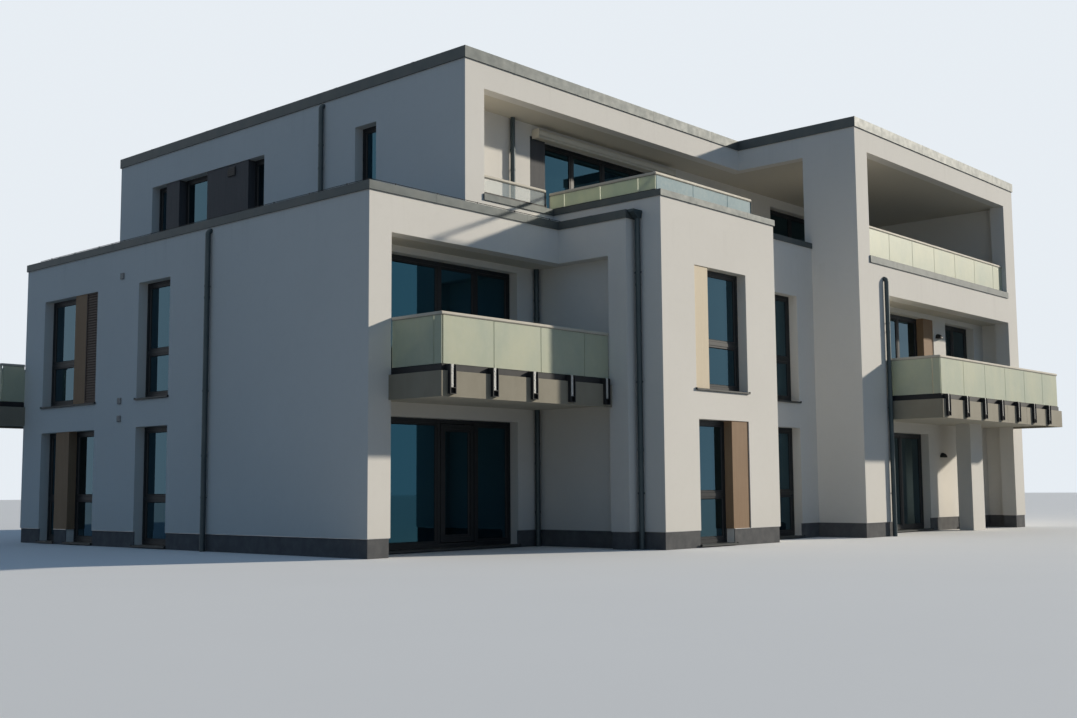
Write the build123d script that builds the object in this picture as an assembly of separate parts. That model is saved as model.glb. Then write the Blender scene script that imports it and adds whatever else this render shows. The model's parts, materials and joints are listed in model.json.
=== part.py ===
# Flat-roofed apartment block of three storeys, in millimetres, +Z up, front towards -Y.
# Two full storeys with loggias, a projecting bay and a right wing, and a set-back penthouse.
# Plan places are measured from the left front corner of the main block, and block()
# moves them so that the part's origin is the middle of its footprint, at ground level.
import os

from build123d import *

# Heights, from the ground up: each storey's floor, then what stands or ends above it
PLINTH_TOP = 320
GROUND_FLOOR = 50
ROOM_HEIGHT = 2540
WINDOW_HEAD = 2330
FLOOR_SLAB = 360
FIRST_ROOM_HEIGHT = 2450
ROOF_SLAB = 450
MAIN_PARAPET = 360
BAY_PARAPET = 706
PENTHOUSE_ROOM_HEIGHT = 2705
PENTHOUSE_HEAD_DROP = 235
PENTHOUSE_SLAB = 345
PENTHOUSE_PARAPET = 360

GROUND_HEAD = GROUND_FLOOR + WINDOW_HEAD
FIRST_CEILING_BELOW = GROUND_FLOOR + ROOM_HEIGHT
FIRST_FLOOR = FIRST_CEILING_BELOW + FLOOR_SLAB
FIRST_HEAD = FIRST_FLOOR + WINDOW_HEAD
ROOF_SOFFIT = FIRST_FLOOR + FIRST_ROOM_HEIGHT
TERRACE_FLOOR = ROOF_SOFFIT + ROOF_SLAB
MAIN_TOP = TERRACE_FLOOR + MAIN_PARAPET
BAY_TOP = TERRACE_FLOOR + BAY_PARAPET
PENTHOUSE_SOFFIT = TERRACE_FLOOR + PENTHOUSE_ROOM_HEIGHT
PENTHOUSE_HEAD = PENTHOUSE_SOFFIT - PENTHOUSE_HEAD_DROP
PENTHOUSE_ROOF = PENTHOUSE_SOFFIT + PENTHOUSE_SLAB
PENTHOUSE_TOP = PENTHOUSE_ROOF + PENTHOUSE_PARAPET

# Walls
WALL = 365
PLINTH_SETBACK = 18
PLINTH_BOARD = 17
FRAME_WALL = 291
LINTEL_DEPTH = 300
ROOF_BAND = 250

# Main block plan
PIER_INNER = 490
LOGGIA_RIGHT = 4743
LOGGIA_DEPTH = 820
FRAME_FRONT = -1640
FRAME_OPENING_FRONT = -1210
LEFT_REAR = 11770
REAR = 12400

# Bay and recess plan
BAY_LEFT = LOGGIA_RIGHT + FRAME_WALL
BAY_WIDTH = 3866
BAY_RIGHT = BAY_LEFT + BAY_WIDTH
BAY_FRONT = -2223
RECESS_FRONT = -1500

# Right wing plan
RECESS_WIDTH = 2800
WING_LEFT = BAY_RIGHT + RECESS_WIDTH
WING_FRONT = -2650
WING_LEFT_PIER = 1270
WING_OPENING = 6930
WING_RIGHT_PIER = 600
WING_MID_PIER = 700
WING_MID_PIER_PLACE = 4210
WING_PIER_RIGHT = WING_LEFT + WING_LEFT_PIER
WING_MID_PIER_LEFT = WING_PIER_RIGHT + WING_MID_PIER_PLACE
WING_MID_PIER_RIGHT = WING_MID_PIER_LEFT + WING_MID_PIER
WING_OPENING_RIGHT = WING_PIER_RIGHT + WING_OPENING
WING_RIGHT = WING_OPENING_RIGHT + WING_RIGHT_PIER
WING_LOGGIA_DEPTH = 820

# Penthouse plan
PENT_LEFT = 2600
PENT_PILLAR = 500
PENT_PILLAR_RIGHT = PENT_LEFT + PENT_PILLAR
PENT_FRONT = 380
PENT_BACK_WALL = 1350
PENT_SIDE_PIER_REAR = -1340
PENT_WING_PIER = 550
UPSTAND = 200

# Copings
COPING_OVERHANG = 30
COPING_SHEET = 20
MAIN_COPING_HEIGHT = 160
BAY_COPING_HEIGHT = 126
PENT_COPING_HEIGHT = 230

# Balconies and railings
BALCONY_DEPTH = 1210
BALCONY_SLAB_DROP = 40
FASCIA_ABOVE_FLOOR = 40
FASCIA_BOTTOM = FIRST_CEILING_BELOW
FASCIA_TOP = FIRST_FLOOR + FASCIA_ABOVE_FLOOR
FASCIA_SHEET = 30
FASCIA_OUT = 55
GLASS_GAP = 110
GLASS_ABOVE_FLOOR = 950
GLASS_BOTTOM = FASCIA_TOP + GLASS_GAP
GLASS_TOP = FIRST_FLOOR + GLASS_ABOVE_FLOOR
GLASS = 17
HANDRAIL_WIDTH = 60
HANDRAIL_DEPTH = 55
HANDRAIL_LIP = 5
CLAMP_RAIL = 50
BRACKET_PITCH = 980
BRACKET_FIRST = 150
BRACKET_BAR = 14
BRACKET_POST = 60
BRACKET_POST_BACK = 20
BRACKET_GAP = 110
BRACKET_DEPTH = 60
BRACKET_FOOT = 105
BRACKET_FOOT_LIFT = 30
PANE_LENGTH = 1175
SIDE_PANE = 1010
TERRACE_FIRST_PANE = 385
TERRACE_PANE = 910
PANE_JOINT = 12
PANE_LEAST = 60
TERRACE_GLASS_ABOVE_FLOOR = 1025
TERRACE_GLASS_TOP = TERRACE_FLOOR + TERRACE_GLASS_ABOVE_FLOOR
REAR_BALCONY_LEFT = -550
TERRACE_RAIL_RIGHT = 8390
TERRACE_CLAMP = 40
SIDE_RAIL_INSET = 100
FRONT_RAIL_INSET = 175
WING_RAIL_INSET = 100
UPSTAND_RAIL_INSET = 40
UPSTAND_RAIL_END_GAP = 160

# Windows
NARROW_WINDOW = 1145
REVEAL = 200
FRAME_BAR = 75
FRAME_DEPTH = 85
PANE = 28
TRANSOM_ABOVE_SILL = 870
SILL_TOP_ABOVE_FLOOR = 10
PANEL_SETBACK = 20
PANEL_SHEET = 25
SILL_OUT = 40
SILL_SIDE = 30
SILL_HEIGHT = 45
LEAF_GAP = 10
LEAF_BAR = 90

# Edges of windows and panels that stand side by side, from the named place that follows each
LEFT_NARROW_START = 5920
LEFT_GROUND_EDGES = (8670, 9770, 10280, 10930)
LEFT_FIRST_EDGES = (8670, 9150, 9590, 10930)
LOGGIA_EDGES = (160, 2060, 3010, 3960)            # PIER_INNER
BAY_GROUND_EDGES = (1096, 2242, 2786)             # BAY_LEFT
BAY_FIRST_EDGES = (1036, 1466, 2786)              # BAY_LEFT
RECESS_START = 950                                # BAY_RIGHT
WING_GROUND_EDGES = (1600, 4900)                  # WING_LEFT
WING_GROUND_NARROW_START = 6500                   # WING_LEFT
WING_FIRST_EDGES = (2800, 4900, 5400)             # WING_LEFT
WING_FIRST_RIGHT_EDGES = (6100, 7850)             # WING_LEFT
PENT_FRONT_EDGES = (2860, 3500)
PENT_LEFT_EDGES = (6520, 7150, 8670, 9860, 10350, 10970)
PENT_TERRACE_EDGES = (396, 856, 5166)             # BAY_LEFT
PENT_WING_EDGES = (2950, 5600)                    # WING_LEFT
REAR_CORNER_START = 900
REAR_STARTS = (3700, 6900, 10100, 13300, 16500)
REAR_PANEL = 440

# Rainwater pipes and small parts
PIPE = 100
PIPE_GAP = 20
PIPE_END_GAP = 20
LEFT_PIPE_ALONG = 4550
PENT_PIPE_ALONG = 4500
TERRACE_PIPE_ALONG = 4840
WING_PIPE_INSET = 120
WING_PIPE_ABOVE_SOFFIT = 400
REAR_PIPES_ALONG = (6300, 15900)
BRACKET_RING = 14
RING_OUT = 6
HOPPER_WIDTH = 270
HOPPER_HEIGHT = 150
HOPPER_DEPTH = 140
VENT = 130
VENT_OUT = 30
VENT_ALONG = 7690
VENT_HEIGHTS = (2570, 2930, 5490)
PENT_VENT_EDGES = (7600, 7880)
PENT_VENT_DROP = 70
PENT_VENT_HEIGHT = 200
RING_PITCH = 2000
RING_HEIGHT = 30
AWNING_EDGES = (456, 5216)                        # BAY_LEFT
AWNING_DROP = 105
AWNING_HEIGHT = 200
AWNING_DEPTH = 200
HINGE_HEIGHTS = (420, 2020)
HINGE_PIN = 6
HINGE_RUNNING_GAP = 0.05
HINGE_KNUCKLE = 10
HINGE_LENGTH = 50
HINGE_END_GAP = 0.2
HINGE_LEAF = 35
HINGE_SHEET = 5
HANDLE_HEIGHT = 1100
HANDLE_PLATE = 34
HANDLE_PLATE_LENGTH = 160
HANDLE_PLATE_DEPTH = 10
HANDLE_BAR = 20
HANDLE_LEVER = 130
HANDLE_REACH = 60

# Reach of the whole part, which sets its origin
X_LOW = REAR_BALCONY_LEFT - FASCIA_OUT
X_HIGH = WING_RIGHT + COPING_OVERHANG
Y_LOW = WING_FRONT - BALCONY_DEPTH - FASCIA_OUT - BRACKET_DEPTH
Y_HIGH = LEFT_REAR + BALCONY_DEPTH + FASCIA_OUT + BRACKET_DEPTH
ORIGIN_X = (X_LOW + X_HIGH) / 2
ORIGIN_Y = (Y_LOW + Y_HIGH) / 2


def block(x0, x1, y0, y1, z0, z1):
    """A box between two plan corners and two heights, moved to the part's origin."""
    corner = Pos(x0 - ORIGIN_X, y0 - ORIGIN_Y, z0)
    return corner * Box(x1 - x0, y1 - y0, z1 - z0, align=(Align.MIN, Align.MIN, Align.MIN))


def outline(points, grow=0):
    """The plan face inside a closed line of points, grown or shrunk by an even margin."""
    line = Polyline(*[(x - ORIGIN_X, y - ORIGIN_Y) for x, y in points], close=True)
    face = make_face(line)
    return offset(face, grow, kind=Kind.INTERSECTION) if grow else face


def slab(points, z0, z1, grow=0):
    """A level plate over a plan outline."""
    return Pos(0, 0, z0) * extrude(outline(points, grow), z1 - z0)


def join(pieces):
    """All pieces together, as one solid or as several that do not touch."""
    pieces = list(pieces)
    return pieces[0] if len(pieces) == 1 else pieces[0].fuse(*pieces[1:])


def separate(pieces):
    """Like pieces that share a node and do not touch."""
    return Compound(children=[solid for piece in pieces for solid in piece.solids()])


class Side:
    """One face of the building: the line it runs along, its outer plane and the way in."""

    def __init__(self, runs, plane, inward):
        self.runs, self.plane, self.inward = runs, plane, inward

    def box(self, start, end, z0, z1, outer, inner):
        """A box along this side, from one depth to another behind its outer plane."""
        near, far = sorted((self.plane + self.inward * outer, self.plane + self.inward * inner))
        if self.runs == "x":
            return block(start, end, near, far, z0, z1)
        return block(near, far, start, end, z0, z1)

    def point(self, along, depth):
        """The plan point at a distance along this side and a depth behind its plane."""
        across = self.plane + self.inward * depth
        return (along, across) if self.runs == "x" else (across, along)


LEFT = Side("y", 0, 1)
LOGGIA = Side("x", LOGGIA_DEPTH, 1)
BAY = Side("x", BAY_FRONT, 1)
RECESS = Side("x", RECESS_FRONT, 1)
WING_LOGGIA = Side("x", WING_FRONT + WING_LOGGIA_DEPTH, 1)
REAR_CORNER = Side("x", LEFT_REAR, -1)
REAR_SIDE = Side("x", REAR, -1)
PENT_LEFT_SIDE = Side("y", PENT_LEFT, 1)
PENT_TERRACE = Side("x", PENT_BACK_WALL, 1)

# Storeys: sill height, head height
GROUND = (GROUND_FLOOR + SILL_TOP_ABOVE_FLOOR, GROUND_HEAD)
FIRST = (FIRST_FLOOR + SILL_TOP_ABOVE_FLOOR, FIRST_HEAD)
PENT = (TERRACE_FLOOR + SILL_HEIGHT + SILL_TOP_ABOVE_FLOOR, PENTHOUSE_HEAD)


class Window:
    """A framed opening with one or more panes side by side, and a transom where it has one."""

    def __init__(self, side, start, end, storey, mullions=(), transom=True, door=None):
        self.side, self.start, self.end = side, start, end
        self.sill, self.head = storey
        self.mullions, self.transom, self.door = mullions, transom, door

    def bed(self):
        """The part of the wall that the sheet-metal sill lies in."""
        return self.side.box(self.start, self.end, self.sill - SILL_HEIGHT, self.sill,
                             0, REVEAL + FRAME_DEPTH)

    def hole(self):
        """What the wall loses: the opening through it and the bed of the sill."""
        return self.side.box(self.start, self.end, self.sill, self.head, -WALL, 2 * WALL) + self.bed()

    def cells(self):
        """The start and end of each pane between the frame's upright bars."""
        lines = [self.start + FRAME_BAR / 2, *self.mullions, self.end - FRAME_BAR / 2]
        for pane, (left, right) in enumerate(zip(lines, lines[1:])):
            yield pane, left + FRAME_BAR / 2, right - FRAME_BAR / 2

    def frame(self):
        """The outer frame and its bars, as one solid."""
        body = self.side.box(self.start, self.end, self.sill, self.head, REVEAL, REVEAL + FRAME_DEPTH)
        for pane, start, end in self.cells():
            for low, high in self.lights(pane):
                body -= self.side.box(start, end, low, high, 0, WALL)
        return body

    def lights(self, pane):
        """The glazed heights of one pane, split by the transom."""
        low, high = self.sill + FRAME_BAR, self.head - FRAME_BAR
        if pane == self.door or not self.transom:
            return [(low, high)]
        bar = self.sill + TRANSOM_ABOVE_SILL
        return [(low, bar), (bar + FRAME_BAR, high)]

    def glass(self):
        """The glass of every pane but the door's, set in the middle of the frame."""
        middle = REVEAL + FRAME_DEPTH / 2
        return [self.side.box(start, end, low, high, middle - PANE / 2, middle + PANE / 2)
                for pane, start, end in self.cells() if pane != self.door
                for low, high in self.lights(pane)]


class Panel:
    """A cladding panel in a shallow recess, which may also line the reveal of a window beside it."""

    def __init__(self, side, start, end, storey, finish, lined):
        self.side, self.start, self.end = side, start, end
        self.sill, self.head = storey
        self.bottom = max(self.sill, PLINTH_TOP)
        self.finish, self.lined = finish, lined

    def bed(self):
        """The part of the wall that the sheet-metal sill lies in."""
        return self.side.box(self.start, self.end, self.sill - SILL_HEIGHT, self.sill,
                             0, PANEL_SETBACK + PANEL_SHEET)

    def hole(self):
        """The recess that the wall has for the panel, and the bed of the sill below it."""
        recess = self.side.box(self.start, self.end, self.bottom, self.head,
                               -WALL, PANEL_SETBACK + PANEL_SHEET)
        return recess + self.bed() if self.bottom == self.sill else recess

    def sheet(self):
        """The panel, flat against the bottom of its recess, with its returns into the window reveals."""
        body = self.side.box(self.start, self.end, self.bottom, self.head,
                             PANEL_SETBACK, PANEL_SETBACK + PANEL_SHEET)
        before, after = self.lined
        if before:
            body += self.side.box(self.start - PANEL_SHEET, self.start, self.bottom, self.head,
                                  PANEL_SETBACK, REVEAL)
        if after:
            body += self.side.box(self.end, self.end + PANEL_SHEET, self.bottom, self.head,
                                  PANEL_SETBACK, REVEAL)
        return body


def placed(start, edges):
    """Edges along a wall, measured from a named place on it."""
    return [start + edge for edge in edges]


def narrow(side, start, storey):
    """A window of the narrow kind that repeats on most sides."""
    return [Window(side, start, start + NARROW_WINDOW, storey)]


def wide(side, start, end, storey, panes):
    """A wide window without transoms, in equal panes."""
    pitch = (end - start - FRAME_BAR) / panes
    mullions = [start + FRAME_BAR / 2 + step * pitch for step in range(1, panes)]
    return Window(side, start, end, storey, mullions, transom=False)


def row(side, edges, storey, kinds):
    """Windows and panels side by side: w window, l louvred, b brown, c cream or d dark panel."""
    group = []
    for place, kind in enumerate(kinds):
        start, end = edges[place:place + 2]
        if kind == "w":
            group.append(Window(side, start, end, storey))
        else:
            lined = (place > 0 and kinds[place - 1] == "w", kinds[place + 1:place + 2] == "w")
            group.append(Panel(side, start, end, storey, kind, lined))
    return group


def loggia_window(storey, door=None):
    """The wide window at the back of the left loggia: a fixed pane, a door pane and a fixed pane."""
    start, *mullions, end = placed(PIER_INNER, LOGGIA_EDGES)
    return Window(LOGGIA, start, end, storey, mullions, transom=False, door=door)


def rear_row(storey, finish):
    """The rear wall's even row of narrow windows, each with a panel on its right."""
    return [row(REAR_SIDE, (start, start + NARROW_WINDOW, start + NARROW_WINDOW + REAR_PANEL),
                storey, "w" + finish) for start in REAR_STARTS]


DOOR_WINDOW = loggia_window(GROUND, door=1)
wing_edges = placed(WING_LEFT, WING_FIRST_EDGES)
terrace_edges = placed(BAY_LEFT, PENT_TERRACE_EDGES)
ground_groups = [
    narrow(LEFT, LEFT_NARROW_START, GROUND),
    row(LEFT, LEFT_GROUND_EDGES, GROUND, "wbw"),
    [DOOR_WINDOW],
    row(BAY, placed(BAY_LEFT, BAY_GROUND_EDGES), GROUND, "wb"),
    narrow(RECESS, BAY_RIGHT + RECESS_START, GROUND),
    [wide(WING_LOGGIA, *placed(WING_LEFT, WING_GROUND_EDGES), GROUND, panes=3)],
    narrow(WING_LOGGIA, WING_LEFT + WING_GROUND_NARROW_START, GROUND),
    narrow(REAR_CORNER, REAR_CORNER_START, GROUND),
    *rear_row(GROUND, "b")]
first_groups = [
    narrow(LEFT, LEFT_NARROW_START, FIRST),
    row(LEFT, LEFT_FIRST_EDGES, FIRST, "lbw"),
    [loggia_window(FIRST)],
    row(BAY, placed(BAY_LEFT, BAY_FIRST_EDGES), FIRST, "cw"),
    narrow(RECESS, BAY_RIGHT + RECESS_START, FIRST),
    [wide(WING_LOGGIA, *wing_edges[:2], FIRST, panes=2),
     Panel(WING_LOGGIA, *wing_edges[1:], FIRST, "b", (True, False))],
    [wide(WING_LOGGIA, *placed(WING_LEFT, WING_FIRST_RIGHT_EDGES), FIRST, panes=2)],
    narrow(REAR_CORNER, REAR_CORNER_START, FIRST),
    *rear_row(FIRST, "b")]
penthouse_groups = [
    row(PENT_LEFT_SIDE, PENT_FRONT_EDGES, PENT, "w"),
    row(PENT_LEFT_SIDE, PENT_LEFT_EDGES, PENT, "wdwdw"),
    [Panel(PENT_TERRACE, *terrace_edges[:2], PENT, "d", (False, True)),
     wide(PENT_TERRACE, *terrace_edges[1:], PENT, panes=4)],
    [wide(PENT_TERRACE, *placed(WING_LEFT, PENT_WING_EDGES), PENT, panes=2)],
    *rear_row(PENT, "d")]


def windows_of(groups):
    """Only the windows in groups of windows and panels."""
    return [item for group in groups for item in group if isinstance(item, Window)]


def sheet_sill(group):
    """One sheet-metal sill under a group, with a nose that passes the opening at both ends."""
    side, top = group[0].side, group[0].sill
    nose = side.box(group[0].start - SILL_SIDE, group[-1].end + SILL_SIDE,
                    top - SILL_HEIGHT, top, -SILL_OUT, 0)
    return join([nose, *(item.bed() for item in group)])


groups = ground_groups + first_groups + penthouse_groups
ground_windows, first_windows = windows_of(ground_groups), windows_of(first_groups)
penthouse_windows = windows_of(penthouse_groups)
windows = windows_of(groups)
panels = [item for group in groups for item in group if isinstance(item, Panel)]
sill_groups = [[item] for item in ground_windows] + first_groups + penthouse_groups

# Plan outlines
wing_front_inner = WING_FRONT + WALL
wing_back = WING_FRONT + WING_LOGGIA_DEPTH
ground_outline = [
    (0, 0), (PIER_INNER, 0), (PIER_INNER, LOGGIA_DEPTH), (BAY_LEFT, LOGGIA_DEPTH),
    (BAY_LEFT, FRAME_OPENING_FRONT), (LOGGIA_RIGHT, FRAME_OPENING_FRONT), (LOGGIA_RIGHT, FRAME_FRONT),
    (BAY_LEFT, FRAME_FRONT), (BAY_LEFT, BAY_FRONT), (BAY_RIGHT, BAY_FRONT), (BAY_RIGHT, RECESS_FRONT),
    (WING_LEFT, RECESS_FRONT), (WING_LEFT, WING_FRONT), (WING_PIER_RIGHT, WING_FRONT),
    (WING_PIER_RIGHT, wing_front_inner), (WING_LEFT + WALL, wing_front_inner),
    (WING_LEFT + WALL, wing_back), (WING_RIGHT - WALL, wing_back), (WING_RIGHT - WALL, wing_front_inner),
    (WING_OPENING_RIGHT, wing_front_inner), (WING_OPENING_RIGHT, WING_FRONT), (WING_RIGHT, WING_FRONT),
    (WING_RIGHT, REAR), (PENT_LEFT, REAR), (PENT_LEFT, LEFT_REAR), (0, LEFT_REAR),
]
bay_inside = [
    (BAY_LEFT + WALL, BAY_FRONT + WALL), (BAY_RIGHT - WALL, BAY_FRONT + WALL),
    (BAY_RIGHT - WALL, RECESS_FRONT + WALL), (WING_LEFT, RECESS_FRONT + WALL),
    (WING_LEFT, PENT_SIDE_PIER_REAR), (WING_LEFT + WALL, PENT_SIDE_PIER_REAR),
]
rear_inside = [
    (WING_RIGHT - WALL, REAR - WALL), (PENT_LEFT + WALL, REAR - WALL),
    (PENT_LEFT + WALL, LEFT_REAR - WALL), (WALL, LEFT_REAR - WALL),
]
room_outline = [
    (WALL, LOGGIA_DEPTH + WALL), (BAY_LEFT + WALL, LOGGIA_DEPTH + WALL), *bay_inside,
    (WING_LEFT + WALL, wing_back + WALL), (WING_RIGHT - WALL, wing_back + WALL), *rear_inside,
]
terrace_outline = [
    (WALL, LINTEL_DEPTH), (BAY_LEFT, LINTEL_DEPTH), (BAY_LEFT, PENT_FRONT + UPSTAND),
    (BAY_LEFT + WALL, PENT_FRONT + UPSTAND), *bay_inside,
    (WING_LEFT + WALL, wing_front_inner), (WING_RIGHT - WALL, wing_front_inner), *rear_inside,
]
roof_outline = [
    (PENT_LEFT, PENT_FRONT), (WING_LEFT, PENT_FRONT), (WING_LEFT, WING_FRONT),
    (WING_RIGHT, WING_FRONT), (WING_RIGHT, REAR), (PENT_LEFT, REAR),
]

main_wall_top = MAIN_TOP - COPING_SHEET
bay_wall_top = BAY_TOP - COPING_SHEET
pent_wall_top = PENTHOUSE_TOP - COPING_SHEET

rebate = slab(ground_outline, -10, PLINTH_TOP, 2 * WALL) - slab(
    ground_outline, -10, PLINTH_TOP, -(PLINTH_SETBACK + PLINTH_BOARD))


def meets(one, other):
    """Whether two upright boxes share any space."""
    return (one.min.X < other.max.X and other.min.X < one.max.X
            and one.min.Y < other.max.Y and other.min.Y < one.max.Y
            and one.min.Z < other.max.Z and other.min.Z < one.max.Z)


def wall(*solids):
    """A wall with every opening that meets it cut out, and the rebate at its foot."""
    body = join(solids) - rebate
    box = body.bounding_box()
    for item in windows + panels:
        hole = item.hole()
        if meets(hole.bounding_box(), box):
            body -= hole
    return body


parts = {}

# Floors and roofs
parts["ground_floor_slab"] = slab(room_outline, 0, GROUND_FLOOR)
parts["first_floor_slab"] = slab(room_outline, FIRST_CEILING_BELOW, FIRST_FLOOR)
parts["terrace_slab"] = slab(terrace_outline, ROOF_SOFFIT, TERRACE_FLOOR)
parts["penthouse_roof_slab"] = slab(roof_outline, PENTHOUSE_SOFFIT, PENTHOUSE_ROOF, -ROOF_BAND)

# Walls of the two full storeys
parts["left_wall"] = wall(block(0, WALL, 0, LEFT_REAR, 0, main_wall_top))
parts["loggia_front_wall"] = wall(
    block(WALL, PIER_INNER, 0, LOGGIA_DEPTH, 0, ROOF_SOFFIT),
    block(WALL, BAY_LEFT, 0, LINTEL_DEPTH, ROOF_SOFFIT, main_wall_top))
parts["loggia_side_frame"] = wall(
    block(LOGGIA_RIGHT, BAY_LEFT, FRAME_FRONT, FRAME_OPENING_FRONT, 0, main_wall_top),
    block(LOGGIA_RIGHT, BAY_LEFT, FRAME_OPENING_FRONT, 0, ROOF_SOFFIT, main_wall_top))
parts["loggia_back_wall"] = wall(
    block(WALL, BAY_LEFT, LOGGIA_DEPTH, LOGGIA_DEPTH + WALL, 0, ROOF_SOFFIT))
parts["bay_left_wall"] = wall(
    block(BAY_LEFT, BAY_LEFT + WALL, BAY_FRONT, LOGGIA_DEPTH + WALL, 0, ROOF_SOFFIT),
    block(BAY_LEFT, BAY_LEFT + WALL, BAY_FRONT, PENT_FRONT + UPSTAND, ROOF_SOFFIT, bay_wall_top))
parts["bay_front_wall"] = wall(
    block(BAY_LEFT + WALL, BAY_RIGHT - WALL, BAY_FRONT, BAY_FRONT + WALL, 0, bay_wall_top))
parts["bay_right_wall"] = wall(
    block(BAY_RIGHT - WALL, BAY_RIGHT, BAY_FRONT, RECESS_FRONT + WALL, 0, bay_wall_top))
parts["recess_wall"] = wall(
    block(BAY_RIGHT, WING_LEFT, RECESS_FRONT, RECESS_FRONT + WALL, 0, bay_wall_top))
parts["right_wing_left_wall"] = wall(
    block(WING_LEFT, WING_LEFT + WALL, WING_FRONT, PENT_SIDE_PIER_REAR, 0, PENTHOUSE_SOFFIT))
parts["right_wing_front_piers"] = separate([
    wall(block(WING_LEFT + WALL, WING_PIER_RIGHT, WING_FRONT, wing_front_inner, 0, ROOF_SOFFIT),
         block(WING_LEFT + WALL, WING_LEFT + PENT_WING_PIER, WING_FRONT, wing_front_inner,
               ROOF_SOFFIT, PENTHOUSE_SOFFIT)),
    wall(block(WING_OPENING_RIGHT, WING_RIGHT - WALL, WING_FRONT, wing_front_inner, 0, PENTHOUSE_SOFFIT)),
    block(WING_MID_PIER_LEFT, WING_MID_PIER_RIGHT, WING_FRONT, wing_front_inner,
          0, FASCIA_BOTTOM + BALCONY_SLAB_DROP)])
parts["right_wing_band"] = block(
    WING_LEFT + PENT_WING_PIER, WING_OPENING_RIGHT, WING_FRONT, wing_front_inner, ROOF_SOFFIT, main_wall_top)
parts["right_wing_back_wall"] = wall(
    block(WING_LEFT + WALL, WING_RIGHT - WALL, wing_back, wing_back + WALL, 0, ROOF_SOFFIT))
parts["right_end_wall"] = wall(
    block(WING_RIGHT - WALL, WING_RIGHT, WING_FRONT, REAR, 0, PENTHOUSE_SOFFIT))
parts["rear_wall"] = wall(
    block(PENT_LEFT, WING_RIGHT - WALL, REAR - WALL, REAR, 0, TERRACE_FLOOR))
parts["rear_corner_wall"] = wall(
    block(WALL, PENT_LEFT, LEFT_REAR - WALL, LEFT_REAR, 0, main_wall_top),
    block(PENT_LEFT, PENT_LEFT + WALL, LEFT_REAR - WALL, REAR - WALL, 0, TERRACE_FLOOR))
parts["terrace_upstand"] = block(
    PENT_PILLAR_RIGHT, BAY_LEFT, PENT_FRONT, PENT_FRONT + UPSTAND, TERRACE_FLOOR, bay_wall_top)

# Penthouse
parts["penthouse_left_wall"] = wall(
    block(PENT_LEFT, PENT_LEFT + WALL, PENT_FRONT, REAR, TERRACE_FLOOR, PENTHOUSE_SOFFIT),
    block(PENT_LEFT + WALL, PENT_PILLAR_RIGHT, PENT_FRONT, PENT_BACK_WALL, TERRACE_FLOOR, PENTHOUSE_SOFFIT))
parts["penthouse_back_wall"] = wall(
    block(PENT_LEFT + WALL, WING_RIGHT - WALL, PENT_BACK_WALL, PENT_BACK_WALL + WALL,
          TERRACE_FLOOR, PENTHOUSE_SOFFIT))
parts["penthouse_rear_wall"] = wall(
    block(PENT_LEFT + WALL, WING_RIGHT - WALL, REAR - WALL, REAR, TERRACE_FLOOR, PENTHOUSE_SOFFIT))
parts["penthouse_roof_band"] = slab(roof_outline, PENTHOUSE_SOFFIT, pent_wall_top) - slab(
    roof_outline, PENTHOUSE_SOFFIT, pent_wall_top, -ROOF_BAND)


def coping(strips, top, height, *neighbours):
    """A sheet-metal cap that wraps the top of wall strips given by their plan corners."""
    def layer(grow, z0, z1):
        return join(block(x0 - grow, x1 + grow, y0 - grow, y1 + grow, z0, z1) for x0, x1, y0, y1 in strips)
    cap = layer(COPING_OVERHANG, top - height, top) - layer(0, top - height, top - COPING_SHEET)
    for neighbour in neighbours:
        cap -= neighbour
    return cap


parts["main_coping"] = coping(
    [(0, WALL, 0, LEFT_REAR), (0, BAY_LEFT, 0, LINTEL_DEPTH), (LOGGIA_RIGHT, BAY_LEFT, FRAME_FRONT, 0),
     (0, PENT_LEFT, LEFT_REAR - WALL, LEFT_REAR)],
    MAIN_TOP, MAIN_COPING_HEIGHT, parts["bay_left_wall"], parts["penthouse_left_wall"])
parts["terrace_coping"] = coping(
    [(BAY_LEFT, BAY_LEFT + WALL, BAY_FRONT, PENT_FRONT + UPSTAND),
     (BAY_LEFT, BAY_RIGHT, BAY_FRONT, BAY_FRONT + WALL),
     (BAY_RIGHT - WALL, BAY_RIGHT, BAY_FRONT, RECESS_FRONT + WALL),
     (BAY_RIGHT, WING_LEFT, RECESS_FRONT, RECESS_FRONT + WALL),
     (PENT_PILLAR_RIGHT, BAY_LEFT, PENT_FRONT, PENT_FRONT + UPSTAND)],
    BAY_TOP, BAY_COPING_HEIGHT, parts["penthouse_left_wall"], parts["right_wing_left_wall"])
parts["right_wing_coping"] = coping(
    [(WING_LEFT + PENT_WING_PIER, WING_OPENING_RIGHT, WING_FRONT, wing_front_inner)],
    MAIN_TOP, MAIN_COPING_HEIGHT, parts["right_wing_front_piers"])
parts["penthouse_coping"] = slab(
    roof_outline, PENTHOUSE_TOP - PENT_COPING_HEIGHT, PENTHOUSE_TOP, COPING_OVERHANG) - slab(
    roof_outline, PENTHOUSE_TOP - PENT_COPING_HEIGHT, PENTHOUSE_TOP, -ROOF_BAND - COPING_OVERHANG)
parts["penthouse_coping"] -= parts["penthouse_roof_band"]

# Plinth boards in the rebate at the foot of the walls
plinth = slab(ground_outline, 0, PLINTH_TOP, -PLINTH_SETBACK) - slab(
    ground_outline, 0, PLINTH_TOP, -(PLINTH_SETBACK + PLINTH_BOARD))
for window in ground_windows:
    plinth -= window.hole()
parts["plinth"] = plinth

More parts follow.
